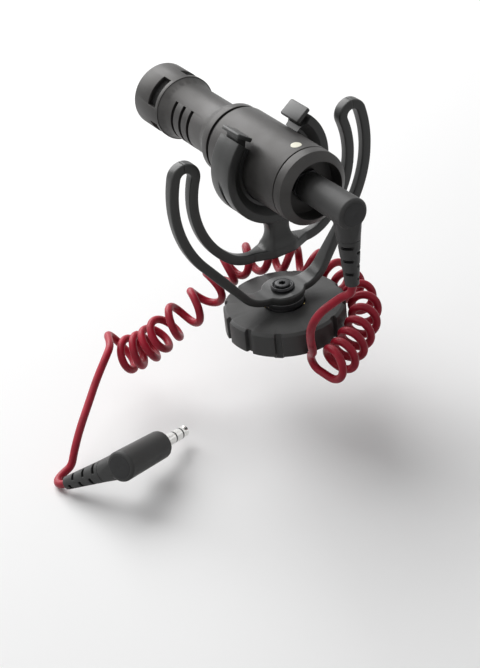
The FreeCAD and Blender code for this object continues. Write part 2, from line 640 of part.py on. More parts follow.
def plug_pieces(corner_point, pin_way, cord_way):
    """An angled plug: moulded elbow, slotted strain relief, pin and its insulating rings.

    It is made with the pin along +Y and the cord leaving along -Z, then turned into place.
    """
    ahead = V(0, 1, 0)
    down = V(0, 0, -1)
    barrel = Part.makeCone(barrel_radius, barrel_mouth_radius, barrel_length + elbow_face,
                           V(0, -elbow_face, 0), ahead)
    drop_body = Part.makeCone(elbow_top_radius, elbow_low_radius, elbow_drop, V(0, 0, 0), down)
    drop_body = drop_body.cut(box(V(-barrel_radius, -2 * barrel_radius, -elbow_drop),
                                  V(barrel_radius, -elbow_face, barrel_radius)))
    face_rim = [edge for edge in barrel.Edges
                if abs(edge.BoundBox.YMin + elbow_face) < running_clearance
                and edge.BoundBox.YLength < running_clearance]
    barrel = softened(barrel, plug_edge, face_rim)
    body = barrel.fuse(drop_body).removeSplitter()
    relief = Part.makeCone(elbow_low_radius, relief_tip_radius, relief_end - elbow_drop,
                           V(0, 0, -elbow_drop), down)
    for index in range(relief_slots):
        level = -elbow_drop - relief_first_slot - relief_slot_pitch * index
        side = 1 if index % 2 else -1
        reach = side * 2 * elbow_low_radius
        core = side * relief_slot_core
        for front in (-1, 1):
            low = V(min(core, reach), min(front * relief_slot_core, front * reach * side),
                    level - relief_slot_height)
            high = V(max(core, reach), max(front * relief_slot_core, front * reach * side), level)
            relief = relief.cut(box(low, high))
    relief.rotate(V(0, 0, 0), down, -relief_turn)
    start = barrel_length
    tip_start = start + pin_length - 2 * pin_radius
    pin_profile = [V(0, start, 0), V(pin_radius, start, 0)]
    ring_starts = [tip_start - pin_length * share for share in pin_ring_shares]
    deep = pin_radius - pin_groove_depth
    for ring_start in ring_starts:
        pin_profile += [V(pin_radius, ring_start, 0), V(deep, ring_start, 0),
                        V(deep, ring_start + pin_ring_length, 0), V(pin_radius, ring_start + pin_ring_length, 0)]
    waist = tip_start + pin_radius
    pin_profile += [V(pin_radius, tip_start + pin_ring_length, 0), V(pin_radius * pin_waist_share, waist, 0),
                    V(pin_radius * pin_tip_share, waist + pin_radius / 2, 0), V(0, start + pin_length, 0)]
    pin = Part.Face(Part.makePolygon(pin_profile + [pin_profile[0]])).revolve(V(0, 0, 0), ahead, 360)
    rings = []
    for ring_start in ring_starts:
        outer = Part.makeCylinder(pin_radius, pin_ring_length, V(0, ring_start, 0), ahead)
        rings.append(outer.cut(Part.makeCylinder(deep, pin_ring_length, V(0, ring_start, 0), ahead)))
    pieces = [body, relief, pin, Part.makeCompound(rings)]
    across = pin_way.cross(cord_way * -1)
    turn = FreeCAD.Matrix(across.x, pin_way.x, -cord_way.x, corner_point.x,
                          across.y, pin_way.y, -cord_way.y, corner_point.y,
                          across.z, pin_way.z, -cord_way.z, corner_point.z,
                          0, 0, 0, 1)
    for piece in pieces:
        piece.Placement = FreeCAD.Placement(turn)
    return pieces


def name_plug(prefix, pieces):
    """Store a plug's four pieces as nodes."""
    for ending, piece in zip(("plug_body", "plug_relief", "plug_pin", "plug_rings"), pieces):
        nodes[prefix + "_" + ending] = piece


# Plug in the microphone's jack: its cord leaves straight down
plug_shoulder = recess_floor - nut_height - clear_gap
near_corner = V(0, plug_shoulder - barrel_length, mic_height)
near_cord_way = V(0, 0, -1)
name_plug("near", plug_pieces(near_corner, V(0, 1, 0), near_cord_way))

# Plug at the far end of the cord
far_corner = V(*far_plug_place)
far_cord_way = V(*far_cord_shares).normalize()
far_pin_way = V(*far_pin_shares)
far_pin_way = (far_pin_way - far_cord_way * far_pin_way.dot(far_cord_way)).normalize()
name_plug("far", plug_pieces(far_corner, far_pin_way, far_cord_way))

# Coil: the route of its middle line, one turn to a span and a quarter turn in the last one
coil_route = [
    V(-4.5, -24.8, 3.3), V(-0.3, -24.7, 3.5), V(3.7, -23.9, 4.3), V(7.5, -22.0, 5.4), V(11.7, -19.8, 6.3),
    V(15.9, -16.5, 7.1), V(19.7, -11.6, 7.2), V(22.2, -5.5, 7.1), V(22.7, 1.3, 7.7), V(22.9, 7.5, 7.7),
    V(20.1, 13.2, 9.6), V(14.8, 18.0, 11.6), V(9.3, 21.3, 12.8), V(2.6, 22.8, 14.1), V(-4.1, 23.0, 14.0),
    V(-8.5, 22.6, 10.6), V(-16.0, 20.9, 7.4), V(-23.5, 21.8, 4.6), V(-27.5, 24.3, 0.6), V(-29.7, 26.5, -2.7),
    V(-32.7, 28.2, -4.8), V(-35.4, 30.7, -6.4), V(-37.1, 32.8, -7.8), V(-38.6, 34.9, -9.2),
]
coil_turns = [1.0] * (len(coil_route) - 3) + [0.25]


def route_at(spot):
    """A point and a direction on the coil's middle line, a quadratic B-spline of its route."""
    index = min(int(spot), len(coil_turns) - 1)
    share = spot - index
    before, here, after = coil_route[index:index + 3]
    point = (before * (1 - share) ** 2 + here * (1 + 2 * share - 2 * share ** 2)
             + after * share ** 2) * 0.5
    way = (here - before) * (1 - share) + (after - here) * share
    return point, way.normalize()


def coil_size(turn):
    """The coil's radius after a number of turns, straight between its named shares."""
    for index in range(len(coil_size_turns) - 1):
        low, high = coil_size_turns[index:index + 2]
        if turn <= high or index == len(coil_size_turns) - 2:
            break
    share = min((turn - low) / (high - low), 1)
    first, last = coil_size_shares[index:index + 2]
    return coil_radius * (first + (last - first) * share)


def coil_at(turn):
    """The wire's middle point after a number of turns."""
    done = 0
    for index, span_turns in enumerate(coil_turns):
        if turn <= done + span_turns or index == len(coil_turns) - 1:
            break
        done += span_turns
    point, way = route_at(index + (turn - done) / coil_turns[index])
    high = V(0, 0, 1) - way * way.z
    high.normalize()
    across = way.cross(high)
    angle = math.radians(coil_start_angle) - 2 * math.pi * turn
    return point + (high * math.cos(angle) + across * math.sin(angle)) * coil_size(turn)


def coil_way(turn):
    """The wire's direction after a number of turns."""
    before = coil_at(turn - least_cord_turn / 2)
    after = coil_at(turn + least_cord_turn / 2)
    return (after - before).normalize()


def arc_edge(start, way, end):
    """The arc from start to end that leaves start along a direction."""
    chord = end - start
    half = chord.Length / 2
    along = chord * (1 / chord.Length)
    across = way - along * way.dot(along)
    if across.Length < least_cord_turn:
        return Part.LineSegment(start, end).toShape()
    bulge = half * math.tan(way.getAngle(chord) / 2)
    middle = start + chord * 0.5 + across.normalize() * bulge
    return Part.Arc(start, middle, end).toShape()


def biarc(start, start_way, end, end_way):
    """Two tangent arcs between two points with given directions."""
    gap = end - start
    both = start_way + end_way
    spread = 2 * (1 - start_way.dot(end_way))
    along = gap.dot(both)
    reach = (math.sqrt(along ** 2 + spread * gap.dot(gap)) - along) / spread
    joint = (start + end + (start_way - end_way) * reach) * 0.5
    joint_way = (end - end_way * reach) - (start + start_way * reach)
    return [arc_edge(start, start_way, joint), arc_edge(joint, joint_way.normalize(), end)]


def swept(edges, start, way, radius):
    """A round tube along a wire of tangent edges."""
    path = Part.Wire(edges)
    ring = Part.Wire(Part.Circle(start, way, radius).toShape())
    shell = Part.BRepOffsetAPI.MakePipeShell(path)
    shell.add(ring)
    shell.build()
    shell.makeSolid()
    return shell.shape()


wire_diameter = 2 * wire_radius
total_turns = sum(coil_turns)
quarter_count = 2 * math.ceil(total_turns)
marks = [total_turns * index / quarter_count for index in range(quarter_count + 1)]
marks[0], marks[-1] = least_cord_turn, total_turns - least_cord_turn
spots = [coil_at(mark) for mark in marks]
ways = [coil_way(mark) for mark in marks]
coil_start = spots[0] - ways[0] * wire_diameter
coil_end = spots[-1] + ways[-1] * wire_diameter
coil_edges = [Part.LineSegment(coil_start, spots[0]).toShape()]
for index in range(quarter_count):
    coil_edges += biarc(spots[index], ways[index], spots[index + 1], ways[index + 1])
coil_edges.append(Part.LineSegment(spots[-1], coil_end).toShape())
coil = swept(coil_edges, coil_start, ways[0], wire_radius)
nodes["cord_coil"] = coil

# Least gap of the coil to itself, measured between points over half a turn apart
gap_steps = 36
samples = [coil_at(index / gap_steps) for index in range(int(gap_steps * total_turns))]
closest = min(samples[first].distanceToPoint(samples[second])
              for first in range(len(samples))
              for second in range(first + gap_steps // 2, min(len(samples), first + 3 * gap_steps)))
print("coil: turns %.2f, least gap to itself %.2f mm" % (total_turns, closest - wire_diameter))
if closest - wire_diameter < least_coil_gap:
    print("coil gap is under its least value")


def cord_tube(points, radius):
    """A plain tube along straight runs joined by tangent arcs; prints its radii."""
    edges = []
    radii = []
    start = points[0]
    length = 0
    for index in range(1, len(points) - 1):
        corner_point = points[index]
        back = points[index - 1] - corner_point
        ahead = points[index + 1] - corner_point
        half_turn = (math.pi - back.getAngle(ahead)) / 2
        cut_back = cord_cut_share * min(back.Length, ahead.Length)
        bend = cut_back / math.tan(half_turn)
        radii.append(bend)
        first = corner_point + back.normalize() * cut_back
        last = corner_point + ahead.normalize() * cut_back
        inward = (first + last) * 0.5 - corner_point
        middle = corner_point + inward.normalize() * (bend / math.cos(half_turn) - bend)
        edges.append(Part.LineSegment(start, first).toShape())
        edges.append(Part.Arc(first, middle, last).toShape())
        length += start.distanceToPoint(first) + 2 * half_turn * bend
        start = last
    edges.append(Part.LineSegment(start, points[-1]).toShape())
    length += start.distanceToPoint(points[-1])
    tube = swept(edges, points[0], (points[1] - points[0]).normalize(), radius)
    share = tube.Volume / (math.pi * radius ** 2 * length)
    print("lead: length %.1f mm, volume share %.4f, radii %s" %
          (length, share, " ".join("%.1f" % value for value in radii)))
    return tube


# Leads: from the near plug to the coil, and from the coil to the far plug
near_exit = near_corner + near_cord_way * relief_end
far_exit = far_corner + far_cord_way * relief_end
near_route = [
    near_exit, near_exit + near_cord_way * exit_run,
    V(-1.4, -32.6, 29.5), V(-4.5, -32.1, 28.3), V(-7.8, -30.6, 26.0), V(-9.7, -28.5, 21.2), V(-8.3, -25.5, 14.9),
    V(-5.9, -22.7, 8.1), V(-4.5, -19.1, 5.5), V(-3.9, -17.9, 2.5), coil_start - ways[0] * exit_run, coil_start,
]
far_route = [
    coil_end, coil_end + ways[-1] * exit_run,
    V(-38.2, 39.4, -2.3), V(-40.9, 31.5, -1.2), V(-44.6, 28.2, -2.2), V(-49.9, 25.5, -6.3), V(-55.1, 21.8, -10.1),
    V(-60.8, 17.8, -14.1), V(-65.3, 14.4, -18.3), V(-67.1, 13.4, -21.8), V(-70.2, 13.7, -23.2),
    V(-72.9, 12.1, -23.4), far_exit + far_cord_way * exit_run, far_exit,
]
nodes["cord_lead_near"] = cord_tube(near_route, wire_radius)
nodes["cord_lead_far"] = cord_tube(far_route, wire_radius)

for name, shape in nodes.items():
    shape.exportStep("parts/" + name + ".step")
print("nodes %d" % len(nodes))
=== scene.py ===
import math

import bmesh
import bpy
from mathutils import Matrix, Vector


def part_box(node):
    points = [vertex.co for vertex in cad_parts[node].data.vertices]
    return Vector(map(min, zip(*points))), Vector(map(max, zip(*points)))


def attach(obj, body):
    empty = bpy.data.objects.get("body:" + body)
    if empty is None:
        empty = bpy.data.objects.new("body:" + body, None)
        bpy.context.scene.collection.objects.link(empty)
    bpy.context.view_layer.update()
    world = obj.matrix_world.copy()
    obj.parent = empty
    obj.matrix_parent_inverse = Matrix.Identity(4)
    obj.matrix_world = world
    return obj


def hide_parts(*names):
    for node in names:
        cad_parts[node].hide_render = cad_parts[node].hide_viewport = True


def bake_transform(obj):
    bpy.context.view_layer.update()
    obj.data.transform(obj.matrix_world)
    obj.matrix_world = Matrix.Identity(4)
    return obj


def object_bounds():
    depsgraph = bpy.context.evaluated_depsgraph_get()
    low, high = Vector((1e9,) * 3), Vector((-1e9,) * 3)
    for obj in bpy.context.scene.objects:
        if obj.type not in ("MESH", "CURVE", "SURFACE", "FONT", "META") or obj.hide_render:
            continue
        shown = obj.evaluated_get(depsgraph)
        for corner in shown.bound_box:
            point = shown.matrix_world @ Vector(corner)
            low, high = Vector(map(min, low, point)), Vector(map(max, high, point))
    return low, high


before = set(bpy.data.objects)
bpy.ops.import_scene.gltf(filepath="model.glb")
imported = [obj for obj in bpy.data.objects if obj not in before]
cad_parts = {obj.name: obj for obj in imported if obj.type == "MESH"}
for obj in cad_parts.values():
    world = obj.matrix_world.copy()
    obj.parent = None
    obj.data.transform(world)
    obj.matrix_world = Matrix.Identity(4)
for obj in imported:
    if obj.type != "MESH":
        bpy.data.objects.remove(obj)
cad_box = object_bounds()
MM = 0.001


# Shoe foot, clamp post and pressure ring: turned and milled aluminium, black anodised, with eased edges.
# The foot slides under a shoe's rails, the post stands on it, and the ring presses down on the rails.
class Value:
    """One output or number in a material, so that its shading maths reads as Python."""

    def __init__(self, finish, socket):
        self.finish = finish
        self.socket = socket

    def maths(self, operation, first, second=None, third=None):
        given = {place: value for place, value in enumerate((first, second, third)) if value is not None}
        return self.finish.node("ShaderNodeMath", {"operation": operation}, given)

    def __add__(self, other): return self.maths("ADD", self, other)
    def __radd__(self, other): return self.maths("ADD", other, self)
    def __sub__(self, other): return self.maths("SUBTRACT", self, other)
    def __rsub__(self, other): return self.maths("SUBTRACT", other, self)
    def __mul__(self, other): return self.maths("MULTIPLY", self, other)
    def __rmul__(self, other): return self.maths("MULTIPLY", other, self)
    def __truediv__(self, other): return self.maths("DIVIDE", self, other)
    def __pow__(self, other): return self.maths("POWER", self, other)
    def __gt__(self, other): return self.maths("GREATER_THAN", self, other)
    def sine(self): return self.maths("SINE", self)
    def size(self): return self.maths("ABSOLUTE", self)
    def largest(self, other): return self.maths("MAXIMUM", self, other)
    def least(self, other): return self.maths("MINIMUM", self, other)

    def spread(self, low, high, to_low=0.0, to_high=1.0):
        """The value's range from low to high laid out smoothly over another range."""
        return self.finish.node("ShaderNodeMapRange", {"interpolation_type": "SMOOTHSTEP"},
                                {0: self, 1: low, 2: high, 3: to_low, 4: to_high})


class Finish:
    """A procedural material: its own nodes, and the shader that they feed."""

    def __init__(self, name, **constants):
        self.material = bpy.data.materials.new(name)
        self.material.use_nodes = True
        self.tree = self.material.node_tree
        self.shader = self.tree.nodes["Principled BSDF"]
        for socket, value in constants.items():
            self.shader.inputs[socket.replace("_", " ")].default_value = value

    def node(self, kind, settings=None, sockets=None, output=0):
        """Add a node: its settings first, then each socket's value or link."""
        made = self.tree.nodes.new(kind)
        for setting, value in (settings or {}).items():
            if setting == "stops":
                ramp = made.color_ramp.elements
                for place, (spot, colour) in enumerate(value):
                    stop = ramp[place] if place < len(ramp) else ramp.new(spot)
                    stop.position, stop.color = spot, (*colour, 1)
            else:
                setattr(made, setting, value)
        for socket, value in (sockets or {}).items():
            if isinstance(value, Value):
                self.tree.links.new(value.socket, made.inputs[socket])
            else:
                made.inputs[socket].default_value = value
        return Value(self, made.outputs[output])

    def place(self):
        """A point's place on the object, in metres, at rest."""
        return self.node("ShaderNodeTexCoord", output=3)

    def grain(self, scale, detail=3.0, roughness=0.55, place=None):
        """Cloudy grain from 0 to 1, so many waves to the metre."""
        return self.node("ShaderNodeTexNoise", None, {"Vector": place or self.place(), "Scale": scale,
                                                      "Detail": detail, "Roughness": roughness})

    def blend(self, share, first, second):
        """A colour between two colours."""
        ends = [(*end, 1) if isinstance(end, tuple) else end for end in (first, second)]
        return self.node("ShaderNodeMix", {"data_type": "RGBA"}, {0: share, 6: ends[0], 7: ends[1]}, output=2)

    def feed(self, **sockets):
        """Link values into the shader."""
        for socket, value in sockets.items():
            self.tree.links.new(value.socket, self.shader.inputs[socket.replace("_", " ")])
        return self

    def bump(self, height, depth, strength=1.0):
        """Raise the surface by a height from 0 to 1, to a depth in metres."""
        return self.feed(Normal=self.node("ShaderNodeBump", None, {"Strength": strength, "Distance": depth,
                                                                   "Height": height}))


def anodised(name, dark, light, roughness, metallic=0.35, specular=0.3):
    """Bead-blasted, anodised aluminium: a fine even tooth and faint handling marks."""
    finish = Finish(name, Metallic=metallic, Specular_IOR_Level=specular)
    tooth = finish.grain(5200.0, 2.0, 0.6)
    cloud = finish.grain(160.0, 4.0, 0.6)
    finish.feed(Base_Color=finish.blend(cloud.spread(0.3, 0.7) * 0.7 + tooth * 0.3, dark, light))
    finish.feed(Roughness=cloud.spread(0.25, 0.75, roughness - 0.05, roughness + 0.07))
    return finish.bump(tooth, 0.000025, 0.5).material


def dress(piece, material, body, slot, *nodes):
    """Give a piece its material and its body, and hide the CAD nodes that it stands for; slot is not used."""
    piece.data.materials.clear()
    piece.data.materials.append(material)
    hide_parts(*nodes)
    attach(piece, body)
    return piece


def eased(name, node, width, steps=3, crease=40):
    """A copy of a CAD node with its sharp edges rounded."""
    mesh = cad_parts[node].data.copy()
    mesh.materials.clear()
    work = bmesh.new()
    work.from_mesh(mesh)
    bmesh.ops.remove_doubles(work, verts=work.verts, dist=0.002 * MM)
    bmesh.ops.dissolve_limit(work, angle_limit=math.radians(1.0), verts=work.verts, edges=work.edges,
                             delimit={"NORMAL"})
    sharp = [edge for edge in work.edges if edge.is_manifold and edge.calc_face_angle(0) > math.radians(32)]
    bmesh.ops.bevel(work, geom=sharp, offset=width, segments=steps, profile=0.5, affect="EDGES",
                    clamp_overlap=True)
    for face in work.faces:
        face.smooth = True
    work.to_mesh(mesh)
    work.free()
    piece = bpy.data.objects.new(name, mesh)
    bpy.context.scene.collection.objects.link(piece)
    mesh.set_sharp_from_angle(angle=math.radians(crease))
    return piece


black_anodised = anodised("black_anodised", (0.035, 0.035, 0.036), (0.055, 0.055, 0.057), 0.38)
for label, node, body in (("shoe_plate", "shoe_foot", "base"), ("post", "clamp_post", "base"),
                          ("rail_ring", "pressure_ring", "clamp_ring")):
    dress(eased(label, node, 0.22 * MM), black_anodised, body, "clamp_metal", node)


# Glossy collar round the post's top: a hard moulded ring that keeps the wheel on.
# Polished black plastic, with a few hair scratches from the wheel.
gloss_black = Finish("gloss_black", Base_Color=(0.02, 0.02, 0.022, 1), Coat_Weight=0.6)
scratches = gloss_black.grain(900.0, 6.0, 0.8)
gloss_black.feed(Roughness=scratches.spread(0.4, 0.7, 0.12, 0.26)).bump(scratches, 0.000006)
dress(eased("collar", "post_collar", 0.2 * MM), gloss_black.material, "base", "gloss_collar", "post_collar")


# Thumbwheel: a moulded wheel with twelve notches for the fingers and an eased top edge.
# Dark grey filled nylon, with a threaded brass insert pressed into its bore.
def linked(name, mesh):
    """A new piece from a mesh, shaded smooth."""
    for polygon in mesh.polygons:
        polygon.use_smooth = True
    piece = bpy.data.objects.new(name, mesh)
    bpy.context.scene.collection.objects.link(piece)
    return piece


def skin(name, rings, closed=False, capped=True, sharp_angle=None):
    """A skin over rings of points: round (closed) or from a first ring to a last."""
    work = bmesh.new()
    loops = [[work.verts.new(point) for point in ring] for ring in rings]
    count = len(loops[0])
    pairs = list(zip(loops, loops[1:] + loops[:1])) if closed else list(zip(loops, loops[1:]))
    for low, high in pairs:
        for index in range(count):
            after = (index + 1) % count
            work.faces.new((low[index], low[after], high[after], high[index]))
    if capped and not closed:
        work.faces.new(list(reversed(loops[0])))
        work.faces.new(loops[-1])
    bmesh.ops.recalc_face_normals(work, faces=work.faces)
    mesh = bpy.data.meshes.new(name)
    work.to_mesh(mesh)
    work.free()
    piece = linked(name, mesh)
    if sharp_angle:
        mesh.set_sharp_from_angle(angle=math.radians(sharp_angle))
    return piece


def rounded(corners, radius, steps=4, closed=True):
    """An outline of 2-D corners with each corner rounded by an arc."""
    outline = []
    count = len(corners)
    for index in range(count):
        here = Vector(corners[index])
        if not closed and index in (0, count - 1):
            outline.append(here)
            continue
        back = Vector(corners[index - 1]) - here
        ahead = Vector(corners[(index + 1) % count]) - here
        half = back.angle(ahead) / 2
        reach = min(radius / math.tan(half), 0.45 * back.length, 0.45 * ahead.length)
        first, last = here + back.normalized() * reach, here + ahead.normalized() * reach
        for step in range(steps + 1):
            share = step / steps
            near, far = first.lerp(here, share), here.lerp(last, share)
            outline.append(near.lerp(far, share))
    return outline


def turned(name, profile, origin, axis, count=96, first=0.0, last=360.0, shape=None):
    """A profile of (place along the axis, radius) pairs turned about an axis."""
    axis = Vector(axis).normalized()
    side = axis.orthogonal().normalized()
    front = axis.cross(side)
    rings = []
    for index in range(count):
        turn = math.radians(first + (last - first) * index / count)
        out = side * math.cos(turn) + front * math.sin(turn)
        pairs = shape(turn, profile) if shape else profile
        rings.append([Vector(origin) + axis * along + out * radius for along, radius in pairs])
    return skin(name, rings, closed=True, sharp_angle=38)


wheel_low, wheel_high = [corner.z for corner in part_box("thumbwheel")]
wheel_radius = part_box("thumbwheel")[1].x
wheel_bore = 6.02 * MM
insert_seat = 8.0 * MM
ring_seat = 10.3 * MM
insert_low, insert_high = [corner.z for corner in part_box("wheel_insert")]
notch_count = 12
notch_phase = math.radians(20.0)
notch_depth = 1.1 * MM
notch_half = 0.95 * MM
notch_ease = 0.16 * MM
notch_blend = 0.2 * MM
wheel_crown = 0.25 * MM
wheel_bevel_width = 0.8 * MM
wheel_bevel_height = 0.7 * MM
wheel_round = 0.3 * MM
wheel_profile = rounded([
    (wheel_high, wheel_bore), (wheel_high - wheel_crown, wheel_radius - wheel_bevel_width),
    (wheel_high - wheel_crown - wheel_bevel_height, wheel_radius), (wheel_low, wheel_radius),
    (wheel_low, ring_seat), (insert_low, ring_seat), (insert_low, insert_seat), (insert_high, insert_seat),
    (insert_high, wheel_bore),
], wheel_round)
wheel_angles = []
for index in range(notch_count):
    middle = notch_phase + 2 * math.pi * index / notch_count
    edge = notch_half / wheel_radius
    ease = notch_ease / wheel_radius
    wheel_angles += [middle + spot for spot in (
        -edge - 2 * ease, -edge - ease, -edge, -edge + ease, -edge + 2 * ease, 0,
        edge - 2 * ease, edge - ease, edge, edge + ease, edge + 2 * ease)]
    gap = 2 * math.pi / notch_count - 2 * edge - 4 * ease
    wheel_angles += [middle + edge + 2 * ease + gap * step / 8 for step in range(1, 8)]


def notched(turn):
    """How much of the notch's depth is cut away at an angle, from 0 to 1."""
    step = 2 * math.pi / notch_count
    off = (turn - notch_phase + step / 2) % step - step / 2
    into = (notch_half - abs(off) * wheel_radius) / notch_blend
    share = min(max(into / 2 + 0.5, 0), 1)
    return share * share * (3 - 2 * share)


wheel_rings = []
for turn in wheel_angles:
    cut = notch_depth * notched(turn)
    wheel_rings.append([Vector((math.cos(turn), math.sin(turn), 0)) * min(radius, wheel_radius - cut)
                        + Vector((0, 0, height)) for height, radius in wheel_profile])
wheel = skin("wheel", wheel_rings, closed=True, sharp_angle=40)

filled_nylon = Finish("filled_nylon", Specular_IOR_Level=0.3)
nylon_tooth = filled_nylon.grain(3600.0, 3.0, 0.7)
nylon_cloud = filled_nylon.grain(120.0, 3.0, 0.6)
filled_nylon.feed(
    Base_Color=filled_nylon.blend(nylon_tooth * 0.4 + nylon_cloud * 0.6,
                                  (0.046, 0.046, 0.046), (0.072, 0.072, 0.071)),
    Roughness=nylon_cloud.spread(0.3, 0.7, 0.42, 0.55)).bump(nylon_tooth, 0.00004, 0.7)
dress(wheel, filled_nylon.material, "wheel", "clamp_plastic", "thumbwheel")

brass = Finish("insert_brass", Metallic=1.0)
turning = brass.grain(2500.0, 2.0, 0.5)
brass.feed(Base_Color=brass.blend(turning, (0.55, 0.38, 0.14), (0.78, 0.58, 0.26)),
           Roughness=turning.spread(0.3, 0.7, 0.2, 0.36)).bump(turning, 0.00002)
dress(eased("threaded_insert", "wheel_insert", 0.15 * MM), brass.material, "wheel", "insert_brass",
      "wheel_insert")


# Lyre, fixed half: the dished base under the screw and the two outer arms up to the tops of their hairpins.
# One tough satin moulding; each arm is a band bent in plain arcs, a little deeper at its ends than half way.
arm_half_thickness = 1.4 * MM
base_half_thickness = 1.1 * MM
arm_edge = 0.55 * MM
boss_low, boss_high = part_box("lyre_base")[0].z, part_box("screw_washer")[0].z
base_floor = boss_high - base_half_thickness
base_bend_radius = 9.0 * MM
outer_centre = (-1.9 * MM, 52.99916 * MM)
outer_radius = 32.99916 * MM
outer_low = -37.601
hairpin_angle = 16.1
hairpin_radius = 3.1 * MM


def spot_on(centre, radius, angle):
    """A point (x, z) at an angle in degrees on a circle."""
    turn = math.radians(angle)
    return (centre[0] + radius * math.cos(turn), centre[1] + radius * math.sin(turn))


def along_line(start, end, step=0.5 * MM):
    """Points (x, z, direction) along a line, without its end."""
    length = math.dist(start, end)
    count = max(2, round(length / step))
    run, rise = end[0] - start[0], end[1] - start[1]
    way = math.atan2(rise, run)
    return [(start[0] + run * index / count, start[1] + rise * index / count, way) for index in range(count)]


def along_arc(centre, radius, first, last, step=0.5 * MM):
    """Points (x, z, direction) along an arc, without its end."""
    count = max(6, round(abs(math.radians(last - first)) * radius / step))
    side = 1 if last > first else -1
    points = []
    for index in range(count):
        angle = first + (last - first) * index / count
        points.append((*spot_on(centre, radius, angle), math.radians(angle + 90 * side)))
    return points


def banded(path, half_depth, half_thickness, edge, dish=None):
    """Rings of a rounded band along a path in the XZ plane, as deep along Y as half_depth says."""
    rings = []
    for x, z, way in path:
        deep = half_depth(x, z)
        thick = half_thickness(x, z)
        outline = rounded([(-deep, -thick), (deep, -thick), (deep, thick), (-deep, thick)], edge, 4)
        across = Vector((-math.sin(way), 0, math.cos(way)))
        ring = []
        for y, up in outline:
            sunk = dish(x, z, y, deep) if dish and up > 0 else 0
            ring.append(Vector((x, y, z)) + across * (up - sunk))
        rings.append(ring)
    return rings


def arm_depth(x, z):
    """Half the arm's depth at a height."""
    stops = [(20 * MM, 1.55 * MM), (32 * MM, 1.3 * MM), (50 * MM, 1.3 * MM), (62 * MM, 1.6 * MM)]
    if z <= stops[0][0]:
        return stops[0][1]
    for (low, first), (high, last) in zip(stops, stops[1:]):
        if z <= high:
            return first + (last - first) * (z - low) / (high - low)
    return stops[-1][1]


arm_foot = spot_on(outer_centre, outer_radius, outer_low)
hairpin_join = spot_on(outer_centre, outer_radius, hairpin_angle)
hairpin_centre = spot_on(hairpin_join, -hairpin_radius, hairpin_angle)
base_slope = 90 + outer_low
base_corner = (arm_foot[0] - (arm_foot[1] - base_floor) / math.tan(math.radians(base_slope)), base_floor)
base_bend_run = base_bend_radius * math.tan(math.radians(base_slope / 2))
base_bend_centre = (base_corner[0] - base_bend_run, base_floor + base_bend_radius)
base_bend_end = spot_on(base_corner, base_bend_run, base_slope)
right_side = (along_line((0, base_floor), (base_bend_centre[0], base_floor))
              + along_arc(base_bend_centre, base_bend_radius, 270, 270 + base_slope)
              + along_line(base_bend_end, arm_foot)
              + along_arc(outer_centre, outer_radius, outer_low, hairpin_angle)
              + along_arc(hairpin_centre, hairpin_radius, hairpin_angle, 90, 0.3 * MM)
              + [(hairpin_centre[0], hairpin_centre[1] + hairpin_radius, math.pi)])
left_side = [(-x, z, -way) for x, z, way in reversed(right_side[1:])]
boss_radius = 6.2 * MM
web_half = 3.4 * MM
web_reach = 19.5 * MM
base_reach_height = 30 * MM
dish_rim = 1.7 * MM
dish_share = 0.16
dish_start = 3.6 * MM


def base_depth(x, z):
    """Half the depth of the base: round at the boss, then a web that narrows to the arm."""
    arm = arm_depth(x, z)
    if z > base_reach_height or abs(x) > web_reach:
        return arm
    share = min(max(abs(x) - boss_radius / 2, 0) / (web_reach - boss_radius / 2), 1)
    web = web_half + (arm - web_half) * share
    boss = math.sqrt(max(boss_radius ** 2 - x ** 2, 0))
    return max(web, boss)


def base_thickness(x, z):
    """Half the thickness: the arms are a little thicker than the base."""
    share = min(max((z - base_floor) / (arm_foot[1] - base_floor), 0) * 1.6, 1)
    return base_half_thickness + (arm_half_thickness - base_half_thickness) * share


def base_dish(x, z, y, deep):
    """How far the base's top is hollowed between its rims."""
    wide = max(deep - dish_rim, 0)
    return dish_share * wide * max(1 - (y / deep) ** 2, 0) * min(abs(x) / dish_start, 1)


lyre_satin = Finish("lyre_satin", Specular_IOR_Level=0.4)
lyre_tooth = lyre_satin.grain(4200.0, 2.0, 0.6)
lyre_cloud = lyre_satin.grain(90.0, 3.0, 0.55)
lyre_satin.feed(
    Base_Color=lyre_satin.blend(lyre_cloud * 0.7 + lyre_tooth * 0.3,
                                (0.026, 0.027, 0.026), (0.040, 0.041, 0.040)),
    Roughness=lyre_cloud.spread(0.3, 0.7, 0.30, 0.40)).bump(lyre_tooth, 0.00002, 0.6)
outer_rings = banded(left_side + right_side, base_depth, base_thickness, arm_edge, base_dish)
dress(skin("lyre_fixed_half", outer_rings), lyre_satin.material, "base", "lyre_plastic",
      "lyre_base", "lyre_outer_left", "lyre_outer_right")
boss_bore = 1.95 * MM
boss_draft = 0.25 * MM
boss_round = 0.2 * MM
boss_profile = rounded([(boss_low, boss_bore), (boss_low, boss_radius - boss_draft),
                        (base_floor, boss_radius), (base_floor, boss_bore)], boss_round)
dress(turned("base_boss", boss_profile, (0, 0, 0), (0, 0, 1), 72), lyre_satin.material, "base",
      "lyre_plastic", "lyre_base")


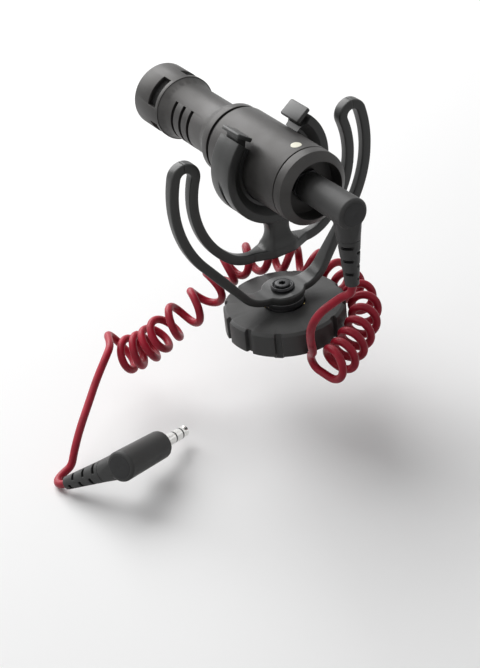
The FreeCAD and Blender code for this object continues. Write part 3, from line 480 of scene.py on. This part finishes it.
# Lyre, rocking half: the inner arms from the hairpins' tops, the bar under the clip and the waisted stem.
# It is the same moulding; the hairpins' tops are where it flexes.
inner_centre = (0.0, 51.99916 * MM)
hairpin_rise = hairpin_centre[1] - inner_centre[1]
inner_top = math.degrees(math.atan2(hairpin_rise, hairpin_centre[0]))
inner_radius = math.hypot(hairpin_centre[0], hairpin_rise) - hairpin_radius
inner_bend_radius = 0.474 * inner_radius
inner_floor = inner_centre[1] - 0.874 * inner_radius
inner_bend = math.degrees(math.asin((inner_centre[1] - inner_floor - inner_bend_radius)
                                    / (inner_radius - inner_bend_radius)))
inner_bend_centre = spot_on(inner_centre, inner_radius - inner_bend_radius, -inner_bend)
stem_root_half = 3.6 * MM
stem_waist_half = 3.3 * MM
bar_reach_height = 34 * MM
inner_right = (along_arc(hairpin_centre, hairpin_radius, 90, 180 + inner_top, 0.3 * MM)
               + along_arc(inner_centre, inner_radius, inner_top, -inner_bend)
               + along_arc(inner_bend_centre, inner_bend_radius, -inner_bend, -90)
               + along_line((inner_bend_centre[0], inner_floor), (0, inner_floor)))
inner_left = [(-x, z, -way) for x, z, way in reversed(inner_right)]


def inner_depth(x, z):
    """Half the depth of the inner arms, wider in the bar under the stem."""
    arm = arm_depth(x, z)
    if z > bar_reach_height:
        return arm
    share = min(max((inner_bend_centre[0] - abs(x)) / (inner_bend_centre[0] - stem_waist_half), 0), 1)
    return arm + (stem_root_half - arm) * share


inner_rings = banded(inner_right + [(0, inner_floor, math.pi)] + inner_left, inner_depth,
                     lambda x, z: arm_half_thickness, arm_edge)
dress(skin("lyre_rocking_half", inner_rings), lyre_satin.material, "cradle", "lyre_plastic",
      "lyre_inner_left", "lyre_inner_right")

mic_height = 56.19916 * MM
clip_radius = 16.2 * MM
stem_top_half = 6.4 * MM
stem_depth_half = 2.2 * MM
stem_top_swell = 0.5 * MM
stem_sunk_low = 0.6 * MM
stem_sunk_high = 1.2 * MM
stem_sweep_rest = 0.3 * MM
stem_skin_inset = 0.06 * MM
stem_least_half = 0.02 * MM
stem_waist_share = 0.51
stem_root_share = 0.82
stem_steps = 32
stem_side_steps = 16
stem_rings = []
stem_low = inner_floor - stem_sunk_low
stem_high = mic_height - clip_radius + stem_sunk_high
bar_top = inner_floor + arm_half_thickness
stem_waist = bar_top + stem_waist_share * (stem_high - bar_top)
for index in range(stem_steps + 1):
    height = stem_low + (stem_high - stem_low) * index / stem_steps
    if height < stem_waist:
        fall = min((stem_waist - height) / (stem_waist - bar_top + stem_sweep_rest), 1)
        sweep = 1 - math.sqrt(1 - fall ** 2)
        wide = stem_waist_half + (stem_root_share * inner_bend_centre[0] - stem_waist_half) * sweep
        deep = stem_depth_half + (stem_root_half - stem_depth_half) * fall ** 2
    else:
        rise = (height - stem_waist) / (stem_high - stem_waist)
        wide = stem_waist_half + (stem_top_half - stem_waist_half) * rise ** 2
        deep = stem_depth_half + stem_top_swell * rise ** 2
    half_ring = []
    for step in range(stem_side_steps + 1):
        share = -math.cos(math.pi * step / stem_side_steps)
        bar_deep = inner_depth(wide * share, inner_floor) - stem_skin_inset
        fullness = max(1 - abs(share) ** 9, 0.0) ** 0.4
        half_ring.append((wide * share, min(deep, bar_deep) * fullness + stem_least_half))
    stem_rings.append([Vector((x, -y, height)) for x, y in half_ring]
                      + [Vector((x, y, height)) for x, y in reversed(half_ring)])
dress(skin("clip_stem_waist", stem_rings), lyre_satin.material, "cradle", "lyre_plastic", "clip_stem")


# Clip: an open ring that springs round the microphone, with funnel mouths and a groove low on each side.
# Two finger tabs at its ends spread it; it is moulded with the stem.
clip_half_length = 4.4 * MM
clip_land_half = 2.8 * MM
clip_bore = 10.56 * MM
clip_funnel = (clip_bore + 0.2 * (clip_radius - clip_bore), clip_bore + 0.59 * (clip_radius - clip_bore))
clip_gap = 44.0
groove_half = 0.8 * MM
groove_depth = 1.9 * MM
groove_angles = (180.0, 246.0)
clip_corners = [(-clip_half_length, clip_radius), (-clip_half_length, clip_funnel[1]),
                (-clip_land_half, clip_funnel[0]), (-clip_land_half, clip_bore), (clip_land_half, clip_bore),
                (clip_land_half, clip_funnel[0]), (clip_half_length, clip_funnel[1]),
                (clip_half_length, clip_radius)]
clip_outline = [tuple(point) for point in rounded(clip_corners, 0.3 * MM, 3)]
groove_outline = [(groove_half + 0.15 * MM, 0), (groove_half, 0.06), (groove_half - 0.12 * MM, 1),
                  (-groove_half + 0.12 * MM, 1), (-groove_half, 0.06), (-groove_half - 0.15 * MM, 0)]
clip_steps = 136
clip_rings = []
clip_turns = [clip_gap - (180 + 2 * clip_gap) * index / clip_steps for index in range(clip_steps + 1)]
for angle in clip_turns:
    low = angle % 360
    mirrored = (180 - angle) % 360
    into = max(min(low - groove_angles[0], groove_angles[1] - low),
               min(mirrored - groove_angles[0], groove_angles[1] - mirrored))
    sunk = groove_depth * abs(math.sin(math.radians(angle))) * min(max(into / 2, 0), 1)
    outline = clip_outline + [(y, clip_radius - sunk * share) for y, share in groove_outline]
    turn = math.radians(angle)
    clip_rings.append([Vector((radius * math.cos(turn), y, mic_height + radius * math.sin(turn)))
                       for y, radius in outline])
clip = skin("clip_ring", clip_rings, sharp_angle=45)
dress(clip, lyre_satin.material, "cradle", "lyre_plastic", "mic_clip")

tab_width = 5.0 * MM
tab_thickness = 1.2 * MM
tab_half_length = 4.0 * MM
tab_angle = math.radians(35.3)
tab_foot_radius = 12.9 * MM
tab_foot_angle = 57.7
tab_round = 0.25 * MM
tab_neck_angle = 41.0
tab_neck_shares = (0.24, 0.86)
tab_foot = spot_on((0, mic_height), tab_foot_radius, tab_foot_angle)
for side in (1, -1):
    along = Vector((math.cos(tab_angle) * side, 0, math.sin(tab_angle)))
    down = Vector((math.sin(tab_angle) * side, 0, -math.cos(tab_angle)))
    foot = Vector((tab_foot[0] * side, 0, tab_foot[1])) + down * tab_thickness / 2
    rings = []
    for share, inset in ((0, 0.3), (0.03, 0.1), (0.08, 0), (0.5, 0), (0.92, 0), (0.97, 0.1), (1, 0.3)):
        half_y = tab_half_length - inset * MM
        half_t = tab_thickness / 2 - inset * MM
        outline = rounded([(-half_y, -half_t), (half_y, -half_t), (half_y, half_t), (-half_y, half_t)],
                          tab_round, 3)
        rings.append([foot + along * (tab_width * share) + Vector((0, y, 0)) + down * t for y, t in outline])
    label = "right" if side > 0 else "left"
    dress(skin("finger_tab_" + label, rings), lyre_satin.material, "cradle", "lyre_plastic", "mic_clip")
    inner = spot_on((0, mic_height), clip_funnel[0], tab_neck_angle)
    outer = spot_on((0, mic_height), clip_radius - tab_thickness, tab_neck_angle)
    inner_end = foot + along * (tab_width * tab_neck_shares[0])
    outer_end = foot + along * (tab_width * tab_neck_shares[1])
    neck_rings = []
    for share in (0, 0.35, 0.7, 1):
        first = Vector((inner[0] * side, 0, inner[1])).lerp(inner_end, share)
        last = Vector((outer[0] * side, 0, outer[1])).lerp(outer_end, share)
        middle, half = (first + last) / 2, (last - first) / 2
        outline = rounded([(-1, -1), (1, -1), (1, 1), (-1, 1)], 0.25, 3)
        neck_rings.append([middle + half * a + Vector((0, b * (tab_half_length - tab_thickness), 0))
                           for a, b in outline])
    dress(skin("tab_neck_" + label, neck_rings), lyre_satin.material, "cradle", "lyre_plastic", "mic_clip")


# Cup washer and socket screw that hold the lyre on its post.
# Blackened steel with a faint cloudy grain; the head sits low in the cup.
black_steel = anodised("blackened_steel", (0.020, 0.020, 0.022), (0.042, 0.042, 0.045), 0.30)
washer_low, washer_high = [corner.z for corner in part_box("screw_washer")]
washer_bore = 1.96 * MM
washer_radius = 3.4 * MM
washer_wall = 0.5 * MM
washer_lip_radii = (3.12 * MM, 2.8 * MM)
washer_lip = washer_high + 0.12 * MM
cup_radius = 2.4 * MM
cup_floor = washer_high - 0.3 * MM
washer_profile = rounded([(washer_low, washer_bore), (washer_low, washer_radius),
                          (washer_low + washer_wall, washer_radius), (washer_lip, washer_lip_radii[0]),
                          (washer_lip, washer_lip_radii[1]), (cup_floor, cup_radius),
                          (cup_floor, washer_bore)], 0.22 * MM)
dress(turned("cup_washer", washer_profile, (0, 0, 0), (0, 0, 1), 72), black_steel, "base", "black_steel",
      "screw_washer")
screw_low, screw_high = [corner.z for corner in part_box("mount_screw")]
head_seat = washer_high - 0.32 * MM
shank_radius = 1.9
head_radius = 2.2
lobe_count = 6
screw_steps = 72
screw_turns = [2 * math.pi * step / screw_steps for step in range(screw_steps)]
screw_rings = []
for height, radius, lobe in (
        (screw_low, shank_radius, 0), (head_seat, shank_radius, 0), (head_seat, head_radius, 0),
        (screw_high - 0.22 * MM, head_radius, 0), (screw_high - 0.07 * MM, 2.13, 0), (screw_high, 1.95, 0),
        (screw_high, 1.1, 0), (screw_high, 0.98, 0.12), (screw_high - 0.08 * MM, 0.9, 0.13),
        (screw_high - 0.9 * MM, 0.86, 0.13)):
    screw_rings.append([Vector((math.cos(turn), math.sin(turn), 0)) * radius
                        * (1 + lobe * math.cos(lobe_count * turn)) * MM
                        + Vector((0, 0, height)) for turn in screw_turns])
dress(skin("socket_screw", screw_rings, sharp_angle=40), black_steel, "base", "black_steel", "mount_screw")


# Microphone's body tube, rear cap and front seal: turned aluminium with a fine blasted anodised skin.
# The cap is a separate turning with a wide bevel and a deep recess for the jack.
axis_origin = Vector((0, 0, mic_height))
mic_radius = 10.5 * MM
body_front, body_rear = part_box("body_tube")[1].y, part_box("body_tube")[0].y
tube_inner = 9.4 * MM
body_profile = rounded([(body_rear, tube_inner), (body_rear, mic_radius), (body_front, mic_radius),
                        (body_front, tube_inner)], 0.2 * MM)
mic_anodised = anodised("mic_anodised", (0.046, 0.044, 0.043), (0.062, 0.060, 0.058), 0.46, 0.4, 0.36)
dress(turned("mic_tube", body_profile, axis_origin, (0, 1, 0)), mic_anodised, "microphone",
      "anodised_body", "body_tube")
rear_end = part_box("rear_cap")[0].y
jack_radius = 3.5 * MM
recess_floor = -17.0 * MM
recess_radius = 8.05 * MM
bevel_radius = 10.4 * MM
band_front, band_rear = -17.2 * MM, -20.0 * MM
groove_floor = mic_radius - 0.5 * MM
cap_inside = recess_floor + 1.1 * MM
cap_profile = rounded([
    (cap_inside, jack_radius), (cap_inside, tube_inner), (body_rear, tube_inner),
    (body_rear, groove_floor), (band_front, groove_floor), (band_front, mic_radius),
    (band_rear, bevel_radius), (rear_end, recess_radius), (recess_floor, recess_radius),
    (recess_floor, jack_radius)], 0.12 * MM)
dress(turned("rear_cap_turning", cap_profile, axis_origin, (0, 1, 0)), mic_anodised, "microphone",
      "anodised_body", "rear_cap")

seal_rubber = Finish("seal_rubber", Base_Color=(0.012, 0.012, 0.012, 1))
rubber_tooth = seal_rubber.grain(2600.0, 3.0, 0.7)
seal_rubber.feed(Roughness=rubber_tooth.spread(0.3, 0.7, 0.6, 0.8)).bump(rubber_tooth, 0.00002)
dress(eased("front_seal_ring", "front_seal", 0.1 * MM), seal_rubber.material, "microphone",
      "seal_rubber", "front_seal")

# Marker dot: a cream dot printed over the body's top, near its rear end.
# A thin disc of paint that follows the tube's curve.
dot_place = -13.9 * MM
dot_radius = 1.5 * MM
dot_angle = math.radians(90.0)
dot_rings = []
for share, proud in ((1.0, 0.0), (0.97, 0.03), (0.9, 0.045), (0.5, 0.05), (0.02, 0.05)):
    ring = []
    for index in range(40):
        turn = 2 * math.pi * index / 40
        angle = dot_angle + dot_radius * share * math.cos(turn) / mic_radius
        radius = mic_radius + proud * MM
        ring.append(Vector((radius * math.cos(angle), dot_place + dot_radius * share * math.sin(turn),
                            mic_height + radius * math.sin(angle))))
    dot_rings.append(ring)
cream_paint = Finish("cream_paint")
paint_cloud = cream_paint.grain(1500.0, 3.0, 0.6)
cream_paint.feed(Base_Color=cream_paint.blend(paint_cloud, (0.74, 0.72, 0.58), (0.85, 0.83, 0.70)),
                 Roughness=paint_cloud.spread(0.3, 0.7, 0.45, 0.6))
dress(skin("marker_paint", dot_rings), cream_paint.material, "microphone", "marker", "marker_dot")


# Microphone's head and slotted neck: thin turned shells with milled windows, round a fine steel mesh.
# The windows are cut right through, and the mesh shows dark behind them.
for label, node, width, crease in (("head_turning", "head_shell", 0.16 * MM, 40),
                                   ("neck_turning", "neck_tube", 0.16 * MM, 24),
                                   ("grille_plate", "front_grille", 0.08 * MM, 40)):
    dress(eased(label, node, width, 2, crease), mic_anodised, "microphone", "anodised_body", node)


def fine_mesh(name):
    """Woven steel mesh: a fine grid of openings round the microphone's axis, painted darker than the wire as
    the shade seen through them.
    """
    finish = Finish(name, Metallic=0.3, Specular_IOR_Level=0.2)
    place = finish.place()
    along = finish.node("ShaderNodeSeparateXYZ", None, {0: place}, output=1)
    across = finish.node("ShaderNodeSeparateXYZ", None, {0: place}, output=0)
    height = finish.node("ShaderNodeSeparateXYZ", None, {0: place}, output=2) - mic_height
    turn = across.maths("ARCTAN2", height, across)
    weave_and_hole_shade = ((turn * 150.0).sine().size() * (along * 9000.0).sine().size())
    # The openings are painted darker than the wire: painted shade for what shows dark through the holes.
    finish.feed(Base_Color=finish.blend(weave_and_hole_shade.spread(0.2, 0.8), (0.014, 0.014, 0.014), (0.004, 0.004, 0.004)),
                Roughness=weave_and_hole_shade.spread(0.0, 1.0, 0.45, 0.7))
    return finish.bump(1.0 - weave_and_hole_shade, 0.00008).material


screen_mesh = fine_mesh("screen_mesh")


def finished(node, material):
    """A CAD node whose shape is right keeps it and gets its material."""
    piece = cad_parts[node]
    piece.data.materials.clear()
    piece.data.materials.append(material)


for node in ("head_screen", "neck_screen"):
    finished(node, screen_mesh)


# Inside: the capsule in its rubber ring, its wires, the circuit board and the jack with its nut.
# Ordinary electronic parts, seen only through the windows and the recess.
steel = anodised("bright_steel", (0.55, 0.55, 0.54), (0.72, 0.72, 0.7), 0.28)
board_green = Finish("board_green")
tracks = board_green.grain(700.0, 2.0, 0.5)
board_green.feed(Base_Color=board_green.blend(tracks.spread(0.45, 0.55),
                                              (0.01, 0.09, 0.035), (0.02, 0.16, 0.06)),
                 Roughness=tracks.spread(0.3, 0.7, 0.25, 0.4))
for node, material in (("capsule", steel), ("capsule_ring", seal_rubber.material),
                       ("capsule_wires", seal_rubber.material), ("circuit_board", board_green.material),
                       ("jack_socket", gloss_black.material)):
    finished(node, material)
dress(eased("jack_ring_nut", "jack_nut", 0.1 * MM), black_steel, "microphone", "black_steel", "jack_nut")


# Angled 3.5 mm plugs: overmoulded rubbery elbows with slotted strain reliefs, plated pins and black rings.
# The two are alike; one sits in the microphone's jack, and the other is on the cord's far end.
plug_rubber = Finish("plug_rubber", Specular_IOR_Level=0.32)
mould_tooth = plug_rubber.grain(3000.0, 3.0, 0.65)
mould_cloud = plug_rubber.grain(110.0, 3.0, 0.6)
plug_rubber.feed(
    Base_Color=plug_rubber.blend(mould_cloud * 0.7 + mould_tooth * 0.3,
                                 (0.034, 0.034, 0.034), (0.052, 0.052, 0.051)),
    Roughness=mould_cloud.spread(0.3, 0.7, 0.42, 0.54)).bump(mould_tooth, 0.00003, 0.6)
plated = Finish("plated_pin", Metallic=1.0)
plating = plated.grain(1800.0, 3.0, 0.6)
plated.feed(Base_Color=plated.blend(plating, (0.74, 0.74, 0.72), (0.88, 0.88, 0.86)),
            Roughness=plating.spread(0.3, 0.7, 0.14, 0.24))


def moulded(name, node, voxel, passes):
    """A copy of a CAD node as an even, softened moulding: its joins and edges run into each other."""
    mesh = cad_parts[node].data.copy()
    mesh.materials.clear()
    piece = bpy.data.objects.new(name, mesh)
    bpy.context.scene.collection.objects.link(piece)
    remesh = piece.modifiers.new("even", "REMESH")
    remesh.mode, remesh.voxel_size, remesh.use_smooth_shade = "VOXEL", voxel, True
    smooth = piece.modifiers.new("soft", "CORRECTIVE_SMOOTH")
    smooth.iterations, smooth.use_only_smooth, smooth.smooth_type = passes, True, "LENGTH_WEIGHTED"
    bpy.context.view_layer.update()
    shown = bpy.data.meshes.new_from_object(piece.evaluated_get(bpy.context.evaluated_depsgraph_get()))
    piece.modifiers.clear()
    piece.data = shown
    for polygon in shown.polygons:
        polygon.use_smooth = True
    return piece


# The elbows' end discs are dark rubber, coloured darker still than the elbows: that extra dark is painted
# shade for the face turned from the lamp behind.
disc_painted_shade = Finish("disc_painted_shade", Specular_IOR_Level=0.3)
disc_cloud = disc_painted_shade.grain(700.0, 4.0, 0.7)
disc_painted_shade.feed(Base_Color=disc_painted_shade.blend(disc_cloud, (0.016, 0.016, 0.017), (0.030, 0.030, 0.031)),
               Roughness=disc_cloud.spread(0.3, 0.7, 0.30, 0.42)).bump(disc_cloud, 0.00001)
elbow_face = 3.3 * MM
disc_radius = 3.35 * MM
disc_eye = 0.03 * MM
disc_front = elbow_face + 0.08 * MM
disc_back = elbow_face - 0.5 * MM
disc_profile = rounded([(disc_back, disc_radius), (disc_front, disc_radius), (disc_front, disc_eye),
                        (disc_back, disc_eye)], 0.08 * MM)
near_corner = Vector((0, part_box("near_plug_body")[0].y + elbow_face, mic_height))
far_corner = Vector((-60.3, -8.9, -11.0)) * MM
far_cord_way = Vector((-0.53, 0.705, -0.465)).normalized()
far_pin_way = Vector((0.85, 0.44, -0.295))
far_pin_way = (far_pin_way - far_cord_way * far_pin_way.dot(far_cord_way)).normalized()
for end, body, corner, pin_way in (("near", "near_plug", near_corner, Vector((0, 1, 0))),
                                   ("far", "base", far_corner, far_pin_way)):
    dress(moulded(end + "_elbow", end + "_plug_body", 0.2 * MM, 4), plug_rubber.material, body,
          "plug_rubber", end + "_plug_body")
    dress(moulded(end + "_relief", end + "_plug_relief", 0.13 * MM, 2), plug_rubber.material, body,
          "plug_rubber", end + "_plug_relief")
    dress(turned(end + "_end_disc", disc_profile, corner, -pin_way, 72), disc_painted_shade.material, body,
          "plug_rubber", end + "_plug_body")
    finished(end + "_plug_pin", plated.material)
    finished(end + "_plug_rings", gloss_black.material)


# Curly cord: one crimson jacket, straight at both ends and wound in a left-handed coil between them.
# The lead leaves the near plug, bends under the coil's start, and the far lead drops to the far plug.
wire_radius = 0.00115
coil_radius = 0.0044
coil_size_turns = [0, 6, 9, 14, 21]
coil_size_shares = [0.99, 0.80, 0.875, 0.92, 1.04]
coil_start_angle = 191.0
points_per_turn = 16
near_lead = [
    (0.0, -0.0353, 0.034), (0.0, -0.0353, 0.0311), (-0.0014, -0.0326, 0.0295), (-0.0045, -0.0321, 0.0283),
    (-0.0078, -0.0306, 0.026), (-0.0097, -0.0285, 0.0212), (-0.0083, -0.0255, 0.0149),
    (-0.0059, -0.0227, 0.0081), (-0.0045, -0.0191, 0.0055), (-0.0039, -0.0179, 0.0025),
    (-0.0032, -0.019, -0.0001), (-0.00266, -0.02177, -0.00052),
]
coil_route = [
    (-0.0045, -0.0248, 0.0033), (-0.0003, -0.0247, 0.0035), (0.0037, -0.0239, 0.0043),
    (0.0075, -0.022, 0.0054), (0.0117, -0.0198, 0.0063), (0.0159, -0.0165, 0.0071),
    (0.0197, -0.0116, 0.0072), (0.0222, -0.0055, 0.0071), (0.0227, 0.0013, 0.0077),
    (0.0229, 0.0075, 0.0077), (0.0201, 0.0132, 0.0096), (0.0148, 0.018, 0.0116), (0.0093, 0.0213, 0.0128),
    (0.0026, 0.0228, 0.0141), (-0.0041, 0.023, 0.014), (-0.0085, 0.0226, 0.0106),
    (-0.016, 0.0209, 0.0074), (-0.0235, 0.0218, 0.0046), (-0.0275, 0.0243, 0.0006),
    (-0.0297, 0.0265, -0.0027), (-0.0327, 0.0282, -0.0048), (-0.0354, 0.0307, -0.0064),
    (-0.0371, 0.0328, -0.0078), (-0.0386, 0.0349, -0.0092),
]
coil_turns = [1.0] * (len(coil_route) - 3) + [0.25]
far_lead = [
    (-0.03456, 0.03772, -0.00786), (-0.0354, 0.0398, -0.006), (-0.0382, 0.0394, -0.0023),
    (-0.0409, 0.0315, -0.0012), (-0.0446, 0.0282, -0.0022), (-0.0499, 0.0255, -0.0063),
    (-0.0551, 0.0218, -0.0101), (-0.0608, 0.0178, -0.0141), (-0.0653, 0.0144, -0.0183),
    (-0.0671, 0.0134, -0.0218), (-0.0702, 0.0137, -0.0232), (-0.0729, 0.0121, -0.0234),
    (-0.07364, 0.00885, -0.02271), (-0.0721, 0.0068, -0.02135),
]


def coil_size(turn):
    """The coil's radius after a number of turns."""
    for index in range(len(coil_size_turns) - 1):
        low, high = coil_size_turns[index:index + 2]
        if turn <= high:
            break
    share = min((turn - low) / (high - low), 1)
    return coil_radius * (coil_size_shares[index] * (1 - share) + coil_size_shares[index + 1] * share)


def coil_point(turn):
    """The wire's middle after a number of turns round the coil's route, a quadratic B-spline."""
    index = min(int(turn), len(coil_turns) - 1)
    share = (turn - index) / coil_turns[index]
    before, here, after = [Vector(point) for point in coil_route[index:index + 3]]
    middle = (before * (1 - share) ** 2 + here * (1 + 2 * share - 2 * share ** 2) + after * share ** 2) * 0.5
    way = ((here - before) * (1 - share) + (after - here) * share).normalized()
    high = (Vector((0, 0, 1)) - way * way.z).normalized()
    angle = math.radians(coil_start_angle) - 2 * math.pi * turn
    out = high * math.cos(angle) + way.cross(high) * math.sin(angle)
    return middle + out * coil_size(turn) * coil_swell


coil_swell = 1 / math.cos(math.pi / points_per_turn)
total_turns = sum(coil_turns)
coil_count = round(total_turns * points_per_turn)
coil_points = [tuple(coil_point(total_turns * index / coil_count)) for index in range(coil_count + 1)]
route = near_lead + coil_points + far_lead
cord_curve = bpy.data.curves.new("cord_route", "CURVE")
cord_curve.dimensions = "3D"
cord_curve.resolution_u = 6
spline = cord_curve.splines.new("NURBS")
spline.points.add(len(route) - 1)
for point, spot in zip(spline.points, route):
    point.co = (*spot, 1)
spline.order_u = 3
spline.use_endpoint_u = True
cord_path = bpy.data.objects.new("cord_route", cord_curve)
bpy.context.scene.collection.objects.link(cord_path)
bpy.context.view_layer.update()
line_mesh = bpy.data.meshes.new_from_object(cord_path.evaluated_get(bpy.context.evaluated_depsgraph_get()))
line = [vertex.co.copy() for vertex in line_mesh.vertices]
bpy.data.objects.remove(cord_path)


def jacket(name, points, first_normal, sides=20):
    """A round jacket along points, and its normal at the end; the rings don't twist."""
    rings = []
    normal = first_normal
    for index, point in enumerate(points):
        before, after = points[max(index - 1, 0)], points[min(index + 1, len(points) - 1)]
        way = (after - before).normalized()
        normal = (normal - way * normal.dot(way)).normalized()
        across = way.cross(normal)
        rings.append([point + (normal * math.cos(2 * math.pi * side / sides)
                               + across * math.sin(2 * math.pi * side / sides)) * wire_radius
                      for side in range(sides)])
    piece = skin(name, rings, capped=False)
    radial = []
    for ring, point in zip(rings, points):
        radial += [(spot - point).normalized() for spot in ring]
    piece.data.normals_split_custom_set_from_vertices(radial)
    return piece, normal


crimson_jacket = Finish("crimson_jacket", Specular_IOR_Level=0.3, Sheen_Weight=0.1, Sheen_Roughness=0.4,
                        Sheen_Tint=(1.0, 0.35, 0.42, 1))
jacket_cloud = crimson_jacket.grain(260.0, 3.0, 0.6)
jacket_tooth = crimson_jacket.grain(4000.0, 2.0, 0.6)
crimson_jacket.feed(
    Base_Color=crimson_jacket.blend(jacket_cloud.spread(0.3, 0.7),
                                    (0.33, 0.007, 0.024), (0.45, 0.012, 0.036)),
    Roughness=jacket_cloud.spread(0.3, 0.7, 0.36, 0.46)).bump(jacket_tooth, 0.00002, 0.5)

first_length, second_length = 12.0 * MM, 26.0 * MM
free_points = 120
run = 0.0
first_cut = second_cut = None
for index in range(1, len(line)):
    run += (line[index] - line[index - 1]).length
    if first_cut is None and run > first_length:
        first_cut = index
    if second_cut is None and run > second_length:
        second_cut = index
pieces = (("lead_at_plug", line[:first_cut + 2], "near_plug", "microphone"),
          ("lead_at_clip", line[first_cut:second_cut + 2], "microphone", "cradle"),
          ("curly_cord", line[second_cut:], "cradle", "base"))
normal = Vector((1, 0, 0))
cord_pieces = []
for label, points, upper, lower in pieces:
    piece, normal = jacket(label, points, normal)
    piece.data.materials.append(crimson_jacket.material)
    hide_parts("cord_lead_near", "cord_coil", "cord_lead_far")
    end = points[-1] if lower != "base" else points[min(len(points) - 1, free_points)]
    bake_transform(piece)
    cord_pieces.append(piece)
long_line = pieces[2][1]
long_length = sum((b - a).length for a, b in zip(long_line, long_line[1:]))
(cord_pieces[:2] + ["far_elbow", "far_end_disc", "far_relief", "far_plug_pin",
                                       "far_plug_rings"])


# Studio: a wide pale floor, a broad lamp behind, and weak ones overhead and on the left.
# The camera stands where the photograph was taken from.
camera_place = Vector((-0.218231, -0.364266, 0.281173))
camera_right = Vector((0.83665, -0.53902, -0.09733)).normalized()
camera_back = Vector((-0.40651, -0.73014, 0.54922)).normalized()
camera_up = camera_back.cross(camera_right).normalized()
camera_right = camera_up.cross(camera_back)
focal_pixels = 1776.881
long_side_pixels = 668
camera_data = bpy.data.cameras.new("camera")
camera_data.sensor_width = 36.0
camera_data.lens = camera_data.sensor_width * focal_pixels / long_side_pixels
camera = bpy.data.objects.new("camera", camera_data)
camera.matrix_world = Matrix((
    (camera_right.x, camera_up.x, camera_back.x, camera_place.x),
    (camera_right.y, camera_up.y, camera_back.y, camera_place.y),
    (camera_right.z, camera_up.z, camera_back.z, camera_place.z), (0, 0, 0, 1)))
bpy.context.scene.collection.objects.link(camera)
bpy.context.scene.camera = camera

floor_gap = 0.2 * MM
floor_level = cad_box[0].z - floor_gap
floor_mesh = bpy.data.meshes.new("floor")
floor_half = 3.0
floor_mesh.from_pydata([(-floor_half, -floor_half, floor_level), (floor_half, -floor_half, floor_level),
                        (floor_half, floor_half, floor_level), (-floor_half, floor_half, floor_level)],
                       [], [(0, 1, 2, 3)])
floor = linked("floor", floor_mesh)
pale_floor = Finish("pale_floor", Roughness=0.8, Specular_IOR_Level=0.1)
floor_cloud = pale_floor.grain(3.0, 2.0, 0.5)


def seen(finish):
    """1 for what the camera, a gloss or a clear piece sees, and 0 for the light that bounces."""
    rays = [finish.node("ShaderNodeLightPath", output=label)
            for label in ("Is Camera Ray", "Is Glossy Ray", "Is Transmission Ray")]
    return rays[0].largest(rays[1]).largest(rays[2])


shown_pale = pale_floor.blend(floor_cloud, (0.90, 0.90, 0.90), (0.93, 0.93, 0.93))
pale_floor.feed(Base_Color=pale_floor.blend(seen(pale_floor), (0.30, 0.30, 0.30), shown_pale))
floor_mesh.materials.append(pale_floor.material)


class Surroundings(Finish):
    """The soft light all round, made of the same kinds of node."""

    def __init__(self, world):
        world.use_nodes = True
        self.tree = world.node_tree
        self.shader = self.tree.nodes["Background"]
        self.shader.inputs["Color"].default_value = (1, 1, 1, 1)


world = bpy.data.worlds.new("studio")
bpy.context.scene.world = world
room = Surroundings(world)
room.feed(Strength=seen(room) * 0.80 + 0.20)


def softbox(name, place, aim, size, power):
    """A square soft lamp that looks at a point."""
    lamp = bpy.data.lights.new(name, "AREA")
    lamp.size, lamp.energy = size, power
    holder = bpy.data.objects.new(name, lamp)
    holder.location = place
    holder.rotation_mode = "QUATERNION"
    holder.rotation_quaternion = (Vector(aim) - Vector(place)).to_track_quat("-Z", "Y")
    bpy.context.scene.collection.objects.link(holder)


target = (0.0, 0.0, 0.03)
softbox("behind", (-0.03, 0.77, 0.66), target, 0.95, 13.0)
softbox("overhead", (-0.25, 0.1, 1.0), target, 0.6, 1.6)
softbox("left_side", (-0.9, 0.1, 0.35), target, 0.5, 0.9)
bpy.context.scene.view_settings.view_transform = "Standard"
